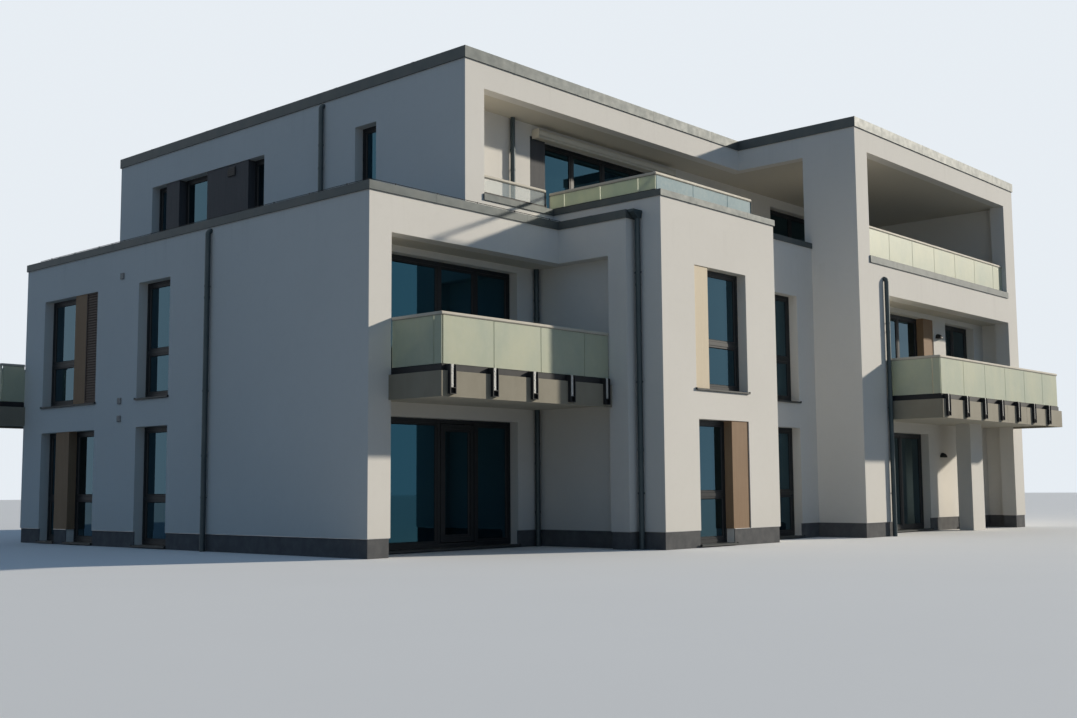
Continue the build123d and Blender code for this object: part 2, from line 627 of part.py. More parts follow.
# Windows, sills and panels
parts["ground_floor_window_frames"] = separate(
    item.frame() for item in ground_windows if item is not DOOR_WINDOW)
parts["terrace_door_frame"] = DOOR_WINDOW.frame()
parts["first_floor_window_frames"] = separate(item.frame() for item in first_windows)
parts["penthouse_window_frames"] = separate(item.frame() for item in penthouse_windows)
parts["ground_floor_glass"] = separate(sheet for item in ground_windows for sheet in item.glass())
parts["first_floor_glass"] = separate(sheet for item in first_windows for sheet in item.glass())
parts["penthouse_glass"] = separate(sheet for item in penthouse_windows for sheet in item.glass())
parts["window_sills"] = separate(sheet_sill(group) for group in sill_groups)
PANEL_NODES = {"l": "louvred_panel", "b": "brown_panels", "c": "cream_panel", "d": "dark_panels"}
for finish, node in PANEL_NODES.items():
    parts[node] = separate(item.sheet() for item in panels if item.finish == finish)

# Terrace door: one glazed leaf in the ground-floor loggia window, hinged on its left
door_cell = list(DOOR_WINDOW.cells())[DOOR_WINDOW.door]
door_low, door_high = DOOR_WINDOW.lights(DOOR_WINDOW.door)[0]
leaf_start, leaf_end = door_cell[1] + LEAF_GAP, door_cell[2] - LEAF_GAP
leaf_low, leaf_high = door_low + LEAF_GAP, door_high - LEAF_GAP
leaf_inner = REVEAL + FRAME_DEPTH
door_leaf = LOGGIA.box(leaf_start, leaf_end, leaf_low, leaf_high, REVEAL, leaf_inner)
door_leaf -= LOGGIA.box(leaf_start + LEAF_BAR, leaf_end - LEAF_BAR, leaf_low + LEAF_BAR,
                        leaf_high - LEAF_BAR, 0, WALL)
parts["terrace_door_leaf"] = door_leaf
middle = REVEAL + FRAME_DEPTH / 2
parts["terrace_door_glass"] = LOGGIA.box(
    leaf_start + LEAF_BAR, leaf_end - LEAF_BAR, leaf_low + LEAF_BAR, leaf_high - LEAF_BAR,
    middle - PANE / 2, middle + PANE / 2)
handle_along = leaf_end - LEAF_BAR / 2
handle_plate = LOGGIA.box(handle_along - HANDLE_PLATE / 2, handle_along + HANDLE_PLATE / 2,
                          HANDLE_HEIGHT - HANDLE_PLATE_LENGTH / 2, HANDLE_HEIGHT + HANDLE_PLATE_LENGTH / 2,
                          leaf_inner, leaf_inner + HANDLE_PLATE_DEPTH)
handle_lever = LOGGIA.box(handle_along - HANDLE_LEVER, handle_along + HANDLE_BAR / 2,
                          HANDLE_HEIGHT - HANDLE_BAR / 2, HANDLE_HEIGHT + HANDLE_BAR / 2,
                          leaf_inner + HANDLE_REACH - HANDLE_BAR, leaf_inner + HANDLE_REACH)
handle_neck = LOGGIA.box(handle_along - HANDLE_BAR / 2, handle_along + HANDLE_BAR / 2,
                         HANDLE_HEIGHT - HANDLE_BAR / 2, HANDLE_HEIGHT + HANDLE_BAR / 2,
                         leaf_inner + HANDLE_PLATE_DEPTH, leaf_inner + HANDLE_REACH - HANDLE_BAR)
parts["terrace_door_handle"] = join([handle_plate, handle_neck, handle_lever])

# Hinges on the room side: the frame carries a knuckle and a pin, the leaf a knuckle that turns on it
hinge_along = leaf_start - LEAF_GAP / 2
hinge_depth = leaf_inner + HINGE_KNUCKLE
hinge_x, hinge_y = LOGGIA.point(hinge_along, hinge_depth)


def hinge_cylinder(radius, low, high):
    """An upright cylinder on the terrace door's hinge line."""
    return Pos(hinge_x - ORIGIN_X, hinge_y - ORIGIN_Y, (low + high) / 2) * Cylinder(radius, high - low)


def hinge_sheet(start, end, low, high):
    """The flat part of a hinge, screwed to the room side of the frame or the leaf."""
    return LOGGIA.box(start, end, low, high, leaf_inner, leaf_inner + HINGE_SHEET)


pins, knuckles = [], []
for height in HINGE_HEIGHTS:
    low, high = height - HINGE_LENGTH, height + HINGE_LENGTH
    seat = height + HINGE_END_GAP
    pins.append(hinge_cylinder(HINGE_KNUCKLE, low, height) + hinge_cylinder(HINGE_PIN, height, high)
                + hinge_sheet(hinge_along - HINGE_LEAF, hinge_along, low, height))
    knuckles.append(hinge_cylinder(HINGE_KNUCKLE, seat, high)
                    + hinge_sheet(hinge_along, hinge_along + HINGE_LEAF, seat, high)
                    - hinge_cylinder(HINGE_PIN + HINGE_RUNNING_GAP, seat, high))
parts["terrace_door_hinge_pins"] = separate(pins)
parts["terrace_door_knuckles"] = separate(knuckles)


def shifted(path, depth):
    """The plan points of a line of square turns, moved to the left of its way by a depth."""
    normals = []
    for (x0, y0), (x1, y1) in zip(path, path[1:]):
        length = abs(x1 - x0) + abs(y1 - y0)
        normals.append(((y0 - y1) / length, (x1 - x0) / length))
    moved = []
    for place, (x, y) in enumerate(path):
        near = normals[max(0, place - 1):place + 1]
        moved.append((x + depth * sum(step[0] for step in near), y + depth * sum(step[1] for step in near)))
    return moved


def strip(path, outer, inner, z0, z1):
    """A band along a line, between two depths behind it, with its corners closed."""
    return slab(shifted(path, outer) + shifted(path, inner)[::-1], z0, z1)


def pane_ends(length, first, pitch):
    """The distances at which the panes of one straight run start and end."""
    ends = [0]
    step = first
    while length - ends[-1] - step > PANE_LEAST:
        ends.append(ends[-1] + step)
        step = pitch
    return ends + [length]


def panes(path, low, high, outer, lengths):
    """Railing glass along a line: at each corner the later run starts behind the earlier one's pane."""
    sheets = []
    faces = shifted(path, outer), shifted(path, outer + GLASS)
    for place, (first, pitch) in enumerate(lengths):
        (x0, y0), (x1, y1) = path[place:place + 2]
        along_x = abs(x1 - x0) > abs(y1 - y0)
        axis = 0 if along_x else 1
        way = 1 if x1 + y1 > x0 + y0 else -1
        begin = max(way * face[place][axis] for face in faces) + (PANE_JOINT if place else 0)
        finish = max(way * face[place + 1][axis] for face in faces)
        across = sorted(face[place][1 - axis] for face in faces)
        ends = pane_ends(finish - begin, first, pitch)
        for near, far in zip(ends, ends[1:]):
            run = sorted((way * (begin + near + PANE_JOINT / 2), way * (begin + far - PANE_JOINT / 2)))
            sheets.append(block(*run, *across, low, high) if along_x else block(*across, *run, low, high))
    return sheets


railings = {"fascia": [], "brackets": [], "clamp_rails": [], "glass": [], "handrails": []}


def railing(path, base, glass_low, glass_top, lengths):
    """A glass railing along a line: a clamp rail on its base, the panes and a handrail on top."""
    railings["clamp_rails"].append(strip(path, 0, CLAMP_RAIL, base, glass_low))
    railings["glass"] += panes(path, glass_low, glass_top, (CLAMP_RAIL - GLASS) / 2, lengths)
    railings["handrails"].append(strip(
        path, -HANDRAIL_LIP, HANDRAIL_WIDTH - HANDRAIL_LIP, glass_top, glass_top + HANDRAIL_DEPTH))


def bracket(side, middle):
    """A post between two upright flat bars on a common foot, screwed to the outside of the fascia."""
    half = BRACKET_GAP / 2 + BRACKET_BAR
    face, foot = -FASCIA_OUT, FASCIA_BOTTOM + BRACKET_FOOT_LIFT
    body = side.box(middle - half, middle + half, foot, foot + BRACKET_FOOT, face - BRACKET_DEPTH, face)
    uprights = [(middle - half, BRACKET_BAR, 0), (middle - BRACKET_POST / 2, BRACKET_POST, BRACKET_POST_BACK),
                (middle + half - BRACKET_BAR, BRACKET_BAR, 0)]
    for low, width, back in uprights:
        body += side.box(low, low + width, foot, FASCIA_TOP, face - BRACKET_DEPTH + back, face)
        body += side.box(low, low + width, FASCIA_TOP, GLASS_BOTTOM, face - BRACKET_DEPTH + back, 0)
    return body


def balcony(path, front_side, left, right, lengths):
    """A balcony's edge: fascia all round, a glass railing above it and brackets in front."""
    railings["fascia"].append(strip(path, -FASCIA_OUT, FASCIA_SHEET - FASCIA_OUT, FASCIA_BOTTOM, FASCIA_TOP))
    railing(path, slab_high, GLASS_BOTTOM, GLASS_TOP, lengths)
    count = int((right - left - BRACKET_FIRST) // BRACKET_PITCH) + 1
    railings["brackets"] += [bracket(front_side, left + BRACKET_FIRST + step * BRACKET_PITCH)
                             for step in range(count)]


slab_low, slab_high = FASCIA_BOTTOM + BALCONY_SLAB_DROP, FIRST_FLOOR - BALCONY_SLAB_DROP
side_run, front_run = (SIDE_PANE, PANE_LENGTH), (PANE_LENGTH, PANE_LENGTH)
front = FRAME_OPENING_FRONT
loggia_rail = [(PIER_INNER, 0), (PIER_INNER, front), (LOGGIA_RIGHT, front)]
parts["balcony_slab"] = slab([
    *shifted(loggia_rail, FASCIA_SHEET - FASCIA_OUT), (LOGGIA_RIGHT, front), (BAY_LEFT, front),
    (BAY_LEFT, LOGGIA_DEPTH), (PIER_INNER, LOGGIA_DEPTH), (PIER_INNER, 0)], slab_low, slab_high)
balcony(loggia_rail, Side("x", front, 1), PIER_INNER, LOGGIA_RIGHT, [side_run, front_run])

wing_front_rail = WING_FRONT - BALCONY_DEPTH
wing_rail = [(WING_PIER_RIGHT, WING_FRONT), (WING_PIER_RIGHT, wing_front_rail),
             (WING_OPENING_RIGHT, wing_front_rail), (WING_OPENING_RIGHT, WING_FRONT)]
parts["right_balcony_slab"] = slab([
    *shifted(wing_rail, FASCIA_SHEET - FASCIA_OUT), (WING_OPENING_RIGHT, WING_FRONT),
    (WING_OPENING_RIGHT, wing_front_inner), (WING_RIGHT - WALL, wing_front_inner),
    (WING_RIGHT - WALL, wing_back), (WING_LEFT + WALL, wing_back), (WING_LEFT + WALL, wing_front_inner),
    (WING_PIER_RIGHT, wing_front_inner), (WING_PIER_RIGHT, WING_FRONT)], slab_low, slab_high)
balcony(wing_rail, Side("x", wing_front_rail, 1), WING_PIER_RIGHT, WING_OPENING_RIGHT,
        [side_run, front_run, side_run])

rear_rail = LEFT_REAR + BALCONY_DEPTH
rear_path = [(PENT_LEFT, REAR), (PENT_LEFT, rear_rail), (REAR_BALCONY_LEFT, rear_rail),
             (REAR_BALCONY_LEFT, LEFT_REAR), (0, LEFT_REAR)]
parts["rear_balcony_slab"] = slab([
    *shifted(rear_path, FASCIA_SHEET - FASCIA_OUT), (0, LEFT_REAR), (PENT_LEFT, LEFT_REAR),
    (PENT_LEFT, REAR)], slab_low, slab_high)
balcony(rear_path, Side("x", rear_rail, -1), REAR_BALCONY_LEFT, PENT_LEFT,
        [side_run, front_run, side_run, side_run])

# Terrace railings on the copings: upstand, bay side and front, and the right wing's front
upstand_line = PENT_FRONT + UPSTAND_RAIL_INSET
side_line, front_line = BAY_LEFT + SIDE_RAIL_INSET, BAY_FRONT + FRONT_RAIL_INSET
wing_line = WING_FRONT + WING_RAIL_INSET
railing([(PENT_PILLAR_RIGHT, upstand_line), (BAY_LEFT - UPSTAND_RAIL_END_GAP, upstand_line)],
        BAY_TOP, BAY_TOP + TERRACE_CLAMP, TERRACE_GLASS_TOP, [(TERRACE_PANE, TERRACE_PANE)])
railing([(side_line, PENT_FRONT + UPSTAND), (side_line, front_line), (TERRACE_RAIL_RIGHT, front_line)],
        BAY_TOP, BAY_TOP + TERRACE_CLAMP, TERRACE_GLASS_TOP, [(TERRACE_FIRST_PANE, TERRACE_PANE), front_run])
railing([(WING_LEFT + PENT_WING_PIER, wing_line), (WING_OPENING_RIGHT, wing_line)],
        MAIN_TOP, MAIN_TOP + TERRACE_CLAMP, TERRACE_GLASS_TOP, [front_run])
parts["balcony_fascia"] = separate(railings["fascia"])
parts["balcony_brackets"] = separate(railings["brackets"])
parts["railing_clamp_rails"] = separate(railings["clamp_rails"])
parts["railing_glass"] = separate(railings["glass"])
parts["handrails"] = separate(railings["handrails"])


def downpipe(side, along, low, high):
    """A round rainwater pipe standing clear of a wall, on ring brackets."""
    x, y = side.point(along, -(PIPE / 2 + PIPE_GAP))
    length = high - low
    middle = Pos(x - ORIGIN_X, y - ORIGIN_Y, low + length / 2)
    pipe = middle * Cylinder(PIPE / 2, length)
    count = max(2, round(length / RING_PITCH))
    for step in range(count):
        z = low + length * (step + 0.5) / count
        pipe += Pos(x - ORIGIN_X, y - ORIGIN_Y, z) * Cylinder(PIPE / 2 + RING_OUT, RING_HEIGHT)
        pipe += side.box(along - BRACKET_RING, along + BRACKET_RING, z - RING_HEIGHT / 2,
                         z + RING_HEIGHT / 2, -(PIPE_GAP + BRACKET_RING), 0)
    return pipe


BAY_SIDE = Side("y", BAY_LEFT, 1)
WING_SIDE = Side("x", WING_FRONT, 1)
bay_pipe_along = FRAME_FRONT - COPING_OVERHANG - HOPPER_DEPTH / 2
main_pipe_top = MAIN_TOP - MAIN_COPING_HEIGHT - PIPE_END_GAP
pent_pipe_top = PENTHOUSE_TOP - PENT_COPING_HEIGHT - PIPE_END_GAP
parts["downpipes"] = separate([
    downpipe(LEFT, LEFT_PIPE_ALONG, 0, main_pipe_top),
    downpipe(LOGGIA, BAY_LEFT - PIPE, 0, slab_low),
    downpipe(LOGGIA, BAY_LEFT - PIPE, slab_high, ROOF_SOFFIT),
    downpipe(BAY_SIDE, bay_pipe_along, 0, MAIN_TOP - HOPPER_HEIGHT),
    downpipe(WING_SIDE, WING_PIER_RIGHT - WING_PIPE_INSET, 0,
             ROOF_SOFFIT + WING_PIPE_ABOVE_SOFFIT),
    downpipe(PENT_LEFT_SIDE, PENT_PIPE_ALONG, TERRACE_FLOOR, pent_pipe_top),
    downpipe(PENT_TERRACE, TERRACE_PIPE_ALONG, TERRACE_FLOOR, PENTHOUSE_SOFFIT),
    *(downpipe(REAR_SIDE, along, 0, pent_pipe_top) for along in REAR_PIPES_ALONG)])
parts["gutter_hopper"] = BAY_SIDE.box(
    FRAME_FRONT - COPING_OVERHANG - HOPPER_DEPTH, FRAME_FRONT - COPING_OVERHANG,
    MAIN_TOP - HOPPER_HEIGHT, MAIN_TOP, -HOPPER_WIDTH, 0)

# Ventilation cowls on the left wall and the penthouse panel
pent_vent_top = PENTHOUSE_HEAD - PENT_VENT_DROP
parts["vent_cowls"] = separate([
    LEFT.box(VENT_ALONG - VENT / 2, VENT_ALONG + VENT / 2, height - VENT / 2, height + VENT / 2,
             -VENT_OUT, 0)
    for height in VENT_HEIGHTS
] + [PENT_LEFT_SIDE.box(*PENT_VENT_EDGES, pent_vent_top - PENT_VENT_HEIGHT, pent_vent_top,
                        PANEL_SETBACK - VENT_OUT, PANEL_SETBACK)])

# Awning cassette under the terrace ceiling
awning_top = PENTHOUSE_SOFFIT - AWNING_DROP
parts["awning_cassette"] = block(
    *placed(BAY_LEFT, AWNING_EDGES), PENT_BACK_WALL - AWNING_DEPTH, PENT_BACK_WALL,
    awning_top - AWNING_HEIGHT, awning_top)

os.makedirs("parts", exist_ok=True)
for name, shape in parts.items():
    export_step(shape, f"parts/{name}.step")
print(len(parts), "nodes; hinge line of the terrace door at",
      round(hinge_x - ORIGIN_X, 1), round(hinge_y - ORIGIN_Y, 1))
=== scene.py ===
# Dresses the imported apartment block: window sashes, sills, louvres, pipes, railings and finishes.
import json
import math

import bmesh
import bpy
from mathutils import Matrix, Vector


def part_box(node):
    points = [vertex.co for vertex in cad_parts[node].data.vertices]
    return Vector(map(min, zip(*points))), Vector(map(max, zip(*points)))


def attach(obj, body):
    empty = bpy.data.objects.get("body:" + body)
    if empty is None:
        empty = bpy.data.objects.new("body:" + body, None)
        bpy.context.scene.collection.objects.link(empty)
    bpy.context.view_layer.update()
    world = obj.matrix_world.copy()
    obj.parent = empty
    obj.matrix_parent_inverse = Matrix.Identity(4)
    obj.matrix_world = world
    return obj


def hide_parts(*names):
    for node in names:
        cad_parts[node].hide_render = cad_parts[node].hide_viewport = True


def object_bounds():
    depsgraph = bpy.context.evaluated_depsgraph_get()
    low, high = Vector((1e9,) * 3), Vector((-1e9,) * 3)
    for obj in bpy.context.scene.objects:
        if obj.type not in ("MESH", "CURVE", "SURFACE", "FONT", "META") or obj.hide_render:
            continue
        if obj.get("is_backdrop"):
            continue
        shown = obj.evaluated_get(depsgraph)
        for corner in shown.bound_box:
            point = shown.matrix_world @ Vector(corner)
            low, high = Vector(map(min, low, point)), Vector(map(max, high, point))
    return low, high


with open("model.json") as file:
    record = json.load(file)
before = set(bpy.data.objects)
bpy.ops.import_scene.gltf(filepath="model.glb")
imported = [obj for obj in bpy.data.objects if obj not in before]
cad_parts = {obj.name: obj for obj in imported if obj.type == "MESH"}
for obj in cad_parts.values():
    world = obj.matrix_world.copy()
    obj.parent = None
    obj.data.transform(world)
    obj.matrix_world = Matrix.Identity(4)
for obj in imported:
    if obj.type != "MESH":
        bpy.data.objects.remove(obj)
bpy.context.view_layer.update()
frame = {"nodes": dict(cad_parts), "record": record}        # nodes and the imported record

nodes = frame["nodes"]
scene = bpy.context.scene
print("frame loaded:", len(nodes), "nodes")


# Small helpers that the pieces share

def vec(*values):
    return Vector(values)


east, north, upward = vec(1, 0, 0), vec(0, 1, 0), vec(0, 0, 1)       # +X, +Y and +Z
rearLine = 6.5                                                       # a piece past this Y is at the rear


def evenly(first, last, count):
    # that many places from first to last, both ends with them
    return [first + (last - first) * step / (count - 1) for step in range(count)]


def middles(start, end, count):
    # the middles of that many equal parts
    return [start + (end - start) * ((step + 0.5) / count) for step in range(count)]


def circle(sides):
    # the angles of a full turn, without its end
    return [math.tau * step / sides for step in range(sides)]


def quarter(steps):
    # the angles of a quarter turn, both ends with them
    return evenly(0, math.pi / 2, steps + 1)


def corners(name):
    # the lowest and the highest corner of a CAD node
    return [Vector(end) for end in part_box(name)]


def corner(name, end):
    # the lowest (0) or highest (1) corner of a CAD node
    return corners(name)[end]


def solidsOf(name):
    # lowest and highest corner of each separate solid in a CAD node
    mesh = nodes[name].data
    keys = [tuple(round(c, 4) for c in v.co) for v in mesh.vertices]
    parent = {key: key for key in keys}

    def root(key):
        while parent[key] != key:
            parent[key] = parent[parent[key]]
            key = parent[key]
        return key

    for face in mesh.polygons:
        first = root(keys[face.vertices[0]])
        for index in face.vertices:
            parent[root(keys[index])] = first
    found = {}
    for key in parent:
        low, high = found.setdefault(root(key), (list(key), list(key)))
        for axis in range(3):
            low[axis] = min(low[axis], key[axis])
            high[axis] = max(high[axis], key[axis])
    return [(Vector(low), Vector(high)) for low, high in sorted(found.values())]


def newObject(name, data):
    # an object that is linked into the scene
    made = bpy.data.objects.new(name, data)
    scene.collection.objects.link(made)
    return made


def turnOutwards(bm):
    bmesh.ops.recalc_face_normals(bm, faces=bm.faces)


def meshOf(name, bm):
    # the mesh that was built, with its faces turned outwards
    turnOutwards(bm)
    mesh = bpy.data.meshes.new(name)
    bm.to_mesh(mesh)
    bm.free()
    return mesh


def addPiece(name, bm, finish, body="building", smooth=None):
    return addMesh(name, meshOf(name, bm), finish, body, smooth)


def addMesh(name, mesh, finish, body="building", smooth=None):
    # smooth is the angle in degrees up to which faces shade as one
    piece = newObject(name, mesh)
    mesh.materials.clear()
    mesh.materials.append(finishes[finish])
    if smooth:
        mesh.shade_smooth()
        mesh.set_sharp_from_angle(angle=math.radians(smooth))
    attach(piece, body)
    return piece


def addBox(bm, one, other, chamfer=0.0):
    # a box between two opposite corners, with its edges taken off where a chamfer is given
    low, high = vec(*map(min, one, other)), vec(*map(max, one, other))
    made = bmesh.ops.create_cube(bm, size=1.0)["verts"]
    bmesh.ops.scale(bm, vec=high - low, verts=made)
    bmesh.ops.translate(bm, vec=(low + high) / 2, verts=made)
    if chamfer:
        edges = list({edge for vert in made for edge in vert.link_edges})
        bmesh.ops.bevel(bm, geom=edges, offset=chamfer, segments=1, affect="EDGES")


def skin(bm, rings):
    # the faces between closed loops of corners that lie side by side
    for here, there in zip(rings, rings[1:]):
        for step in range(len(here)):
            after = (step + 1) % len(here)
            bm.faces.new((here[step], here[after], there[after], there[step]))


def sweepRing(bm, centre, along, up, out, halfLength, halfHeight, profile):
    # a closed profile of (inset, outward) points carried round a rectangle with mitred corners
    rings = []
    for a, b in ((-1, -1), (1, -1), (1, 1), (-1, 1)):
        rings.append([bm.verts.new(centre + along * a * (halfLength - inset)
                                   + up * b * (halfHeight - inset) + out * rise)
                      for inset, rise in profile])
    skin(bm, rings + rings[:1])


def sweepLine(bm, start, end, side, up, profile):
    # a closed profile of (across, height) points carried straight from start to end, with flat ends
    ends = []
    for point in (start, end):
        ends.append([bm.verts.new(point + side * across + up * height) for across, height in profile])
    skin(bm, ends)
    bm.faces.new(ends[0])
    bm.faces.new(ends[1])


def sweepTube(bm, path, radius, sides):
    # a round tube of one radius, or one for each point, with closed ends and as little twist as can be
    rings, first = [], None
    for index, point in enumerate(path):
        before = path[max(index - 1, 0)]
        after = path[min(index + 1, len(path) - 1)]
        ahead = (after - before).normalized()
        first = ahead.orthogonal() if first is None else first - ahead * first.dot(ahead)
        first.normalize()
        second = ahead.cross(first)
        size = radius[index] if isinstance(radius, (list, tuple)) else radius
        rings.append([bm.verts.new(point + (first * math.cos(t) + second * math.sin(t)) * size)
                      for t in circle(sides)])
    skin(bm, rings)
    bm.faces.new(list(reversed(rings[0])))
    bm.faces.new(rings[-1])


def mergedCopy(name):
    # a CAD node's triangles as one closed mesh with flat faces
    bm = bmesh.new()
    bm.from_mesh(nodes[name].data)
    bmesh.ops.remove_doubles(bm, verts=bm.verts, dist=1e-5)
    bmesh.ops.dissolve_limit(bm, angle_limit=0.01, verts=bm.verts, edges=bm.edges)
    return bm


def grow(bm, by, flat=False):
    # moves every face outwards by one margin; flat keeps the heights
    moves, sameWay = {}, 0.5
    for vert in bm.verts:
        ways = []
        for face in vert.link_faces:
            way = face.normal.copy()
            if all(abs(way.dot(other)) < sameWay for other in ways):
                ways.append(way)
        move = sum(ways, Vector()) * by
        moves[vert] = vec(move.x, move.y, 0) if flat else move
    for vert, move in moves.items():
        vert.co += move


def softened(node, name, arris, finish, body="building", segments=2, shrink=0.0):
    # a CAD node's own shape with its sharp edges rounded, which stands for the node
    sharpAngle = 0.5
    bm = mergedCopy(node)
    if shrink:
        grow(bm, -shrink)
    sharp = [edge for edge in bm.edges
             if len(edge.link_faces) == 2 and edge.calc_face_angle() > sharpAngle]
    bmesh.ops.bevel(bm, geom=sharp, offset=arris, segments=segments, affect="EDGES", clamp_overlap=True)
    piece = addPiece(name, bm, finish, body)
    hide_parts(node)


def feed(tree, value, socket):
    # a number is set on the socket, a pattern is linked to it
    if isinstance(value, (int, float)):
        socket.default_value = value
    else:
        tree.links.new(value, socket)


def combined(tree, operation, first, second):
    # one maths node, fed with numbers or patterns
    part = tree.nodes.new("ShaderNodeMath")
    part.operation = operation
    feed(tree, first, part.inputs[0])
    feed(tree, second, part.inputs[1])
    return part.outputs["Value"]


# Finishes. Every pattern reads Object coordinates, which are metres in the building's own frame.

class Finish:
    def __init__(self, name, color, roughness, metallic=0.0, shine=0.2):
        self.material = bpy.data.materials.new(name)
        self.material.use_nodes = True
        self.tree = self.material.node_tree
        self.shader = self.tree.nodes["Principled BSDF"]
        self.shader.inputs["Base Color"].default_value = (*color, 1)
        self.shader.inputs["Roughness"].default_value = roughness
        self.shader.inputs["Metallic"].default_value = metallic
        self.shader.inputs["Specular IOR Level"].default_value = shine
        self.place = self.add("ShaderNodeTexCoord").outputs["Object"]
        self.color = None
        self.base = color

    def add(self, kind, **settings):
        made = self.tree.nodes.new(kind)
        for key, value in settings.items():
            setattr(made, key, value)
        return made

    def link(self, source, target):
        self.tree.links.new(source, target)

    def noise(self, scale, detail=3.0, stretch=(1, 1, 1), rough=0.5):
        # scale is in waves a metre
        spread = self.add("ShaderNodeMapping")
        spread.inputs["Scale"].default_value = stretch
        self.link(self.place, spread.inputs["Vector"])
        cloud = self.add("ShaderNodeTexNoise")
        cloud.inputs["Scale"].default_value = scale
        cloud.inputs["Detail"].default_value = detail
        cloud.inputs["Roughness"].default_value = rough
        self.link(spread.outputs["Vector"], cloud.inputs["Vector"])
        return cloud.outputs["Fac"]

    def range(self, source, low, high, fromLow=0.0, fromHigh=1.0):
        part = self.add("ShaderNodeMapRange")
        for key, value in (("From Min", fromLow), ("From Max", fromHigh), ("To Min", low), ("To Max", high)):
            part.inputs[key].default_value = value
        self.link(source, part.inputs["Value"])
        return part.outputs["Result"]

    def math(self, operation, first, second):
        return combined(self.tree, operation, first, second)

    def height(self):
        split = self.add("ShaderNodeSeparateXYZ")
        self.link(self.place, split.inputs["Vector"])
        return split.outputs["Z"]

    def blend(self, amount, tint):
        # lays a tint over the colour so far, by the amount of a pattern
        mix = self.add("ShaderNodeMix", data_type="RGBA")
        self.link(amount, mix.inputs["Factor"])
        if self.color is None:
            mix.inputs["A"].default_value = (*self.base, 1)
        else:
            self.link(self.color, mix.inputs["A"])
        mix.inputs["B"].default_value = (*tint, 1)
        self.color = mix.outputs["Result"]

    def cloud(self, tint, most, band, *noise, **more):
        # lays a tint over the colour where a noise lies high in its band, by at most the share that is given
        self.blend(self.range(self.noise(*noise, **more), 0.0, most, *band), tint)

    def done(self, bumps, roughness=None):
        # bumps are (pattern, strength, depth in metres)
        self.link(self.color, self.shader.inputs["Base Color"])
        normal = None
        for source, strength, distance in bumps:
            bump = self.add("ShaderNodeBump")
            bump.inputs["Strength"].default_value = strength
            bump.inputs["Distance"].default_value = distance
            self.link(source, bump.inputs["Height"])
            if normal is not None:
                self.link(normal, bump.inputs["Normal"])
            normal = bump.outputs["Normal"]
        self.link(normal, self.shader.inputs["Normal"])
        if roughness is not None:
            self.link(roughness, self.shader.inputs["Roughness"])
        return self.material


colors = {
    "render": (0.83, 0.81, 0.77), "renderDust": (0.69, 0.665, 0.62), "rainStain": (0.58, 0.565, 0.53),
    "soffit": (0.70, 0.66, 0.57), "concrete": (0.45, 0.44, 0.42), "concretePale": (0.36, 0.35, 0.33),
    "roofing": (0.20, 0.20, 0.205), "roofingPale": (0.29, 0.285, 0.28), "roofingGrit": (0.33, 0.33, 0.32),
    "gravel": (0.36, 0.35, 0.33), "gravelPale": (0.52, 0.50, 0.46), "plinth": (0.105, 0.108, 0.115),
    "plinthPale": (0.18, 0.182, 0.185), "zinc": (0.078, 0.095, 0.100), "zincPale": (0.110, 0.122, 0.122),
    "pipe": (0.050, 0.072, 0.082), "pipePale": (0.085, 0.108, 0.116), "anthracite": (0.020, 0.023, 0.026),
    "sill": (0.050, 0.055, 0.056), "sillPale": (0.085, 0.088, 0.086), "brown": (0.275, 0.180, 0.110),
    "brownPale": (0.345, 0.235, 0.150), "louvre": (0.022, 0.014, 0.012), "cream": (0.74, 0.64, 0.48),
    "creamPale": (0.79, 0.69, 0.54), "dark": (0.062, 0.066, 0.075), "darkPale": (0.090, 0.092, 0.10),
    "fascia": (0.255, 0.235, 0.185), "fasciaPale": (0.310, 0.290, 0.235), "milky": (0.63, 0.66, 0.50),
    "milkyDeep": (0.47, 0.55, 0.45), "pale": (0.30, 0.42, 0.46), "paleDeep": (0.22, 0.34, 0.39),
    "film": (0.72, 0.74, 0.66), "clear": (0.75, 0.84, 0.84), "clearPale": (0.66, 0.78, 0.80),
    "rail": (0.56, 0.53, 0.46), "railPale": (0.64, 0.61, 0.54), "bracket": (0.018, 0.020, 0.023),
    "galvanised": (0.50, 0.50, 0.48), "galvanisedPale": (0.60, 0.60, 0.58), "awning": (0.74, 0.70, 0.60),
    "vent": (0.20, 0.21, 0.215), "paving": (0.42, 0.41, 0.39), "pavingPale": (0.50, 0.49, 0.46),
    # glassPaintedReflection is the darker colour of the painted reflection clouds in the window glass
    "rubber": (0.012, 0.012, 0.013), "glass": (0.010, 0.022, 0.026), "glassPaintedReflection": (0.005, 0.010, 0.012),
    "steel": (0.5, 0.5, 0.5), "steelPale": (0.62, 0.62, 0.62),
}
glazing = {"ior": 1.9, "clear": 0.4, "tint": (0.13, 0.64, 0.95)}
weather = {"rainLines": ((6.05, 0.8), (9.03, 0.7)), "overLine": 0.02, "splashTop": 0.95, "splashFull": 0.25,
           "underRoof": 0.01}


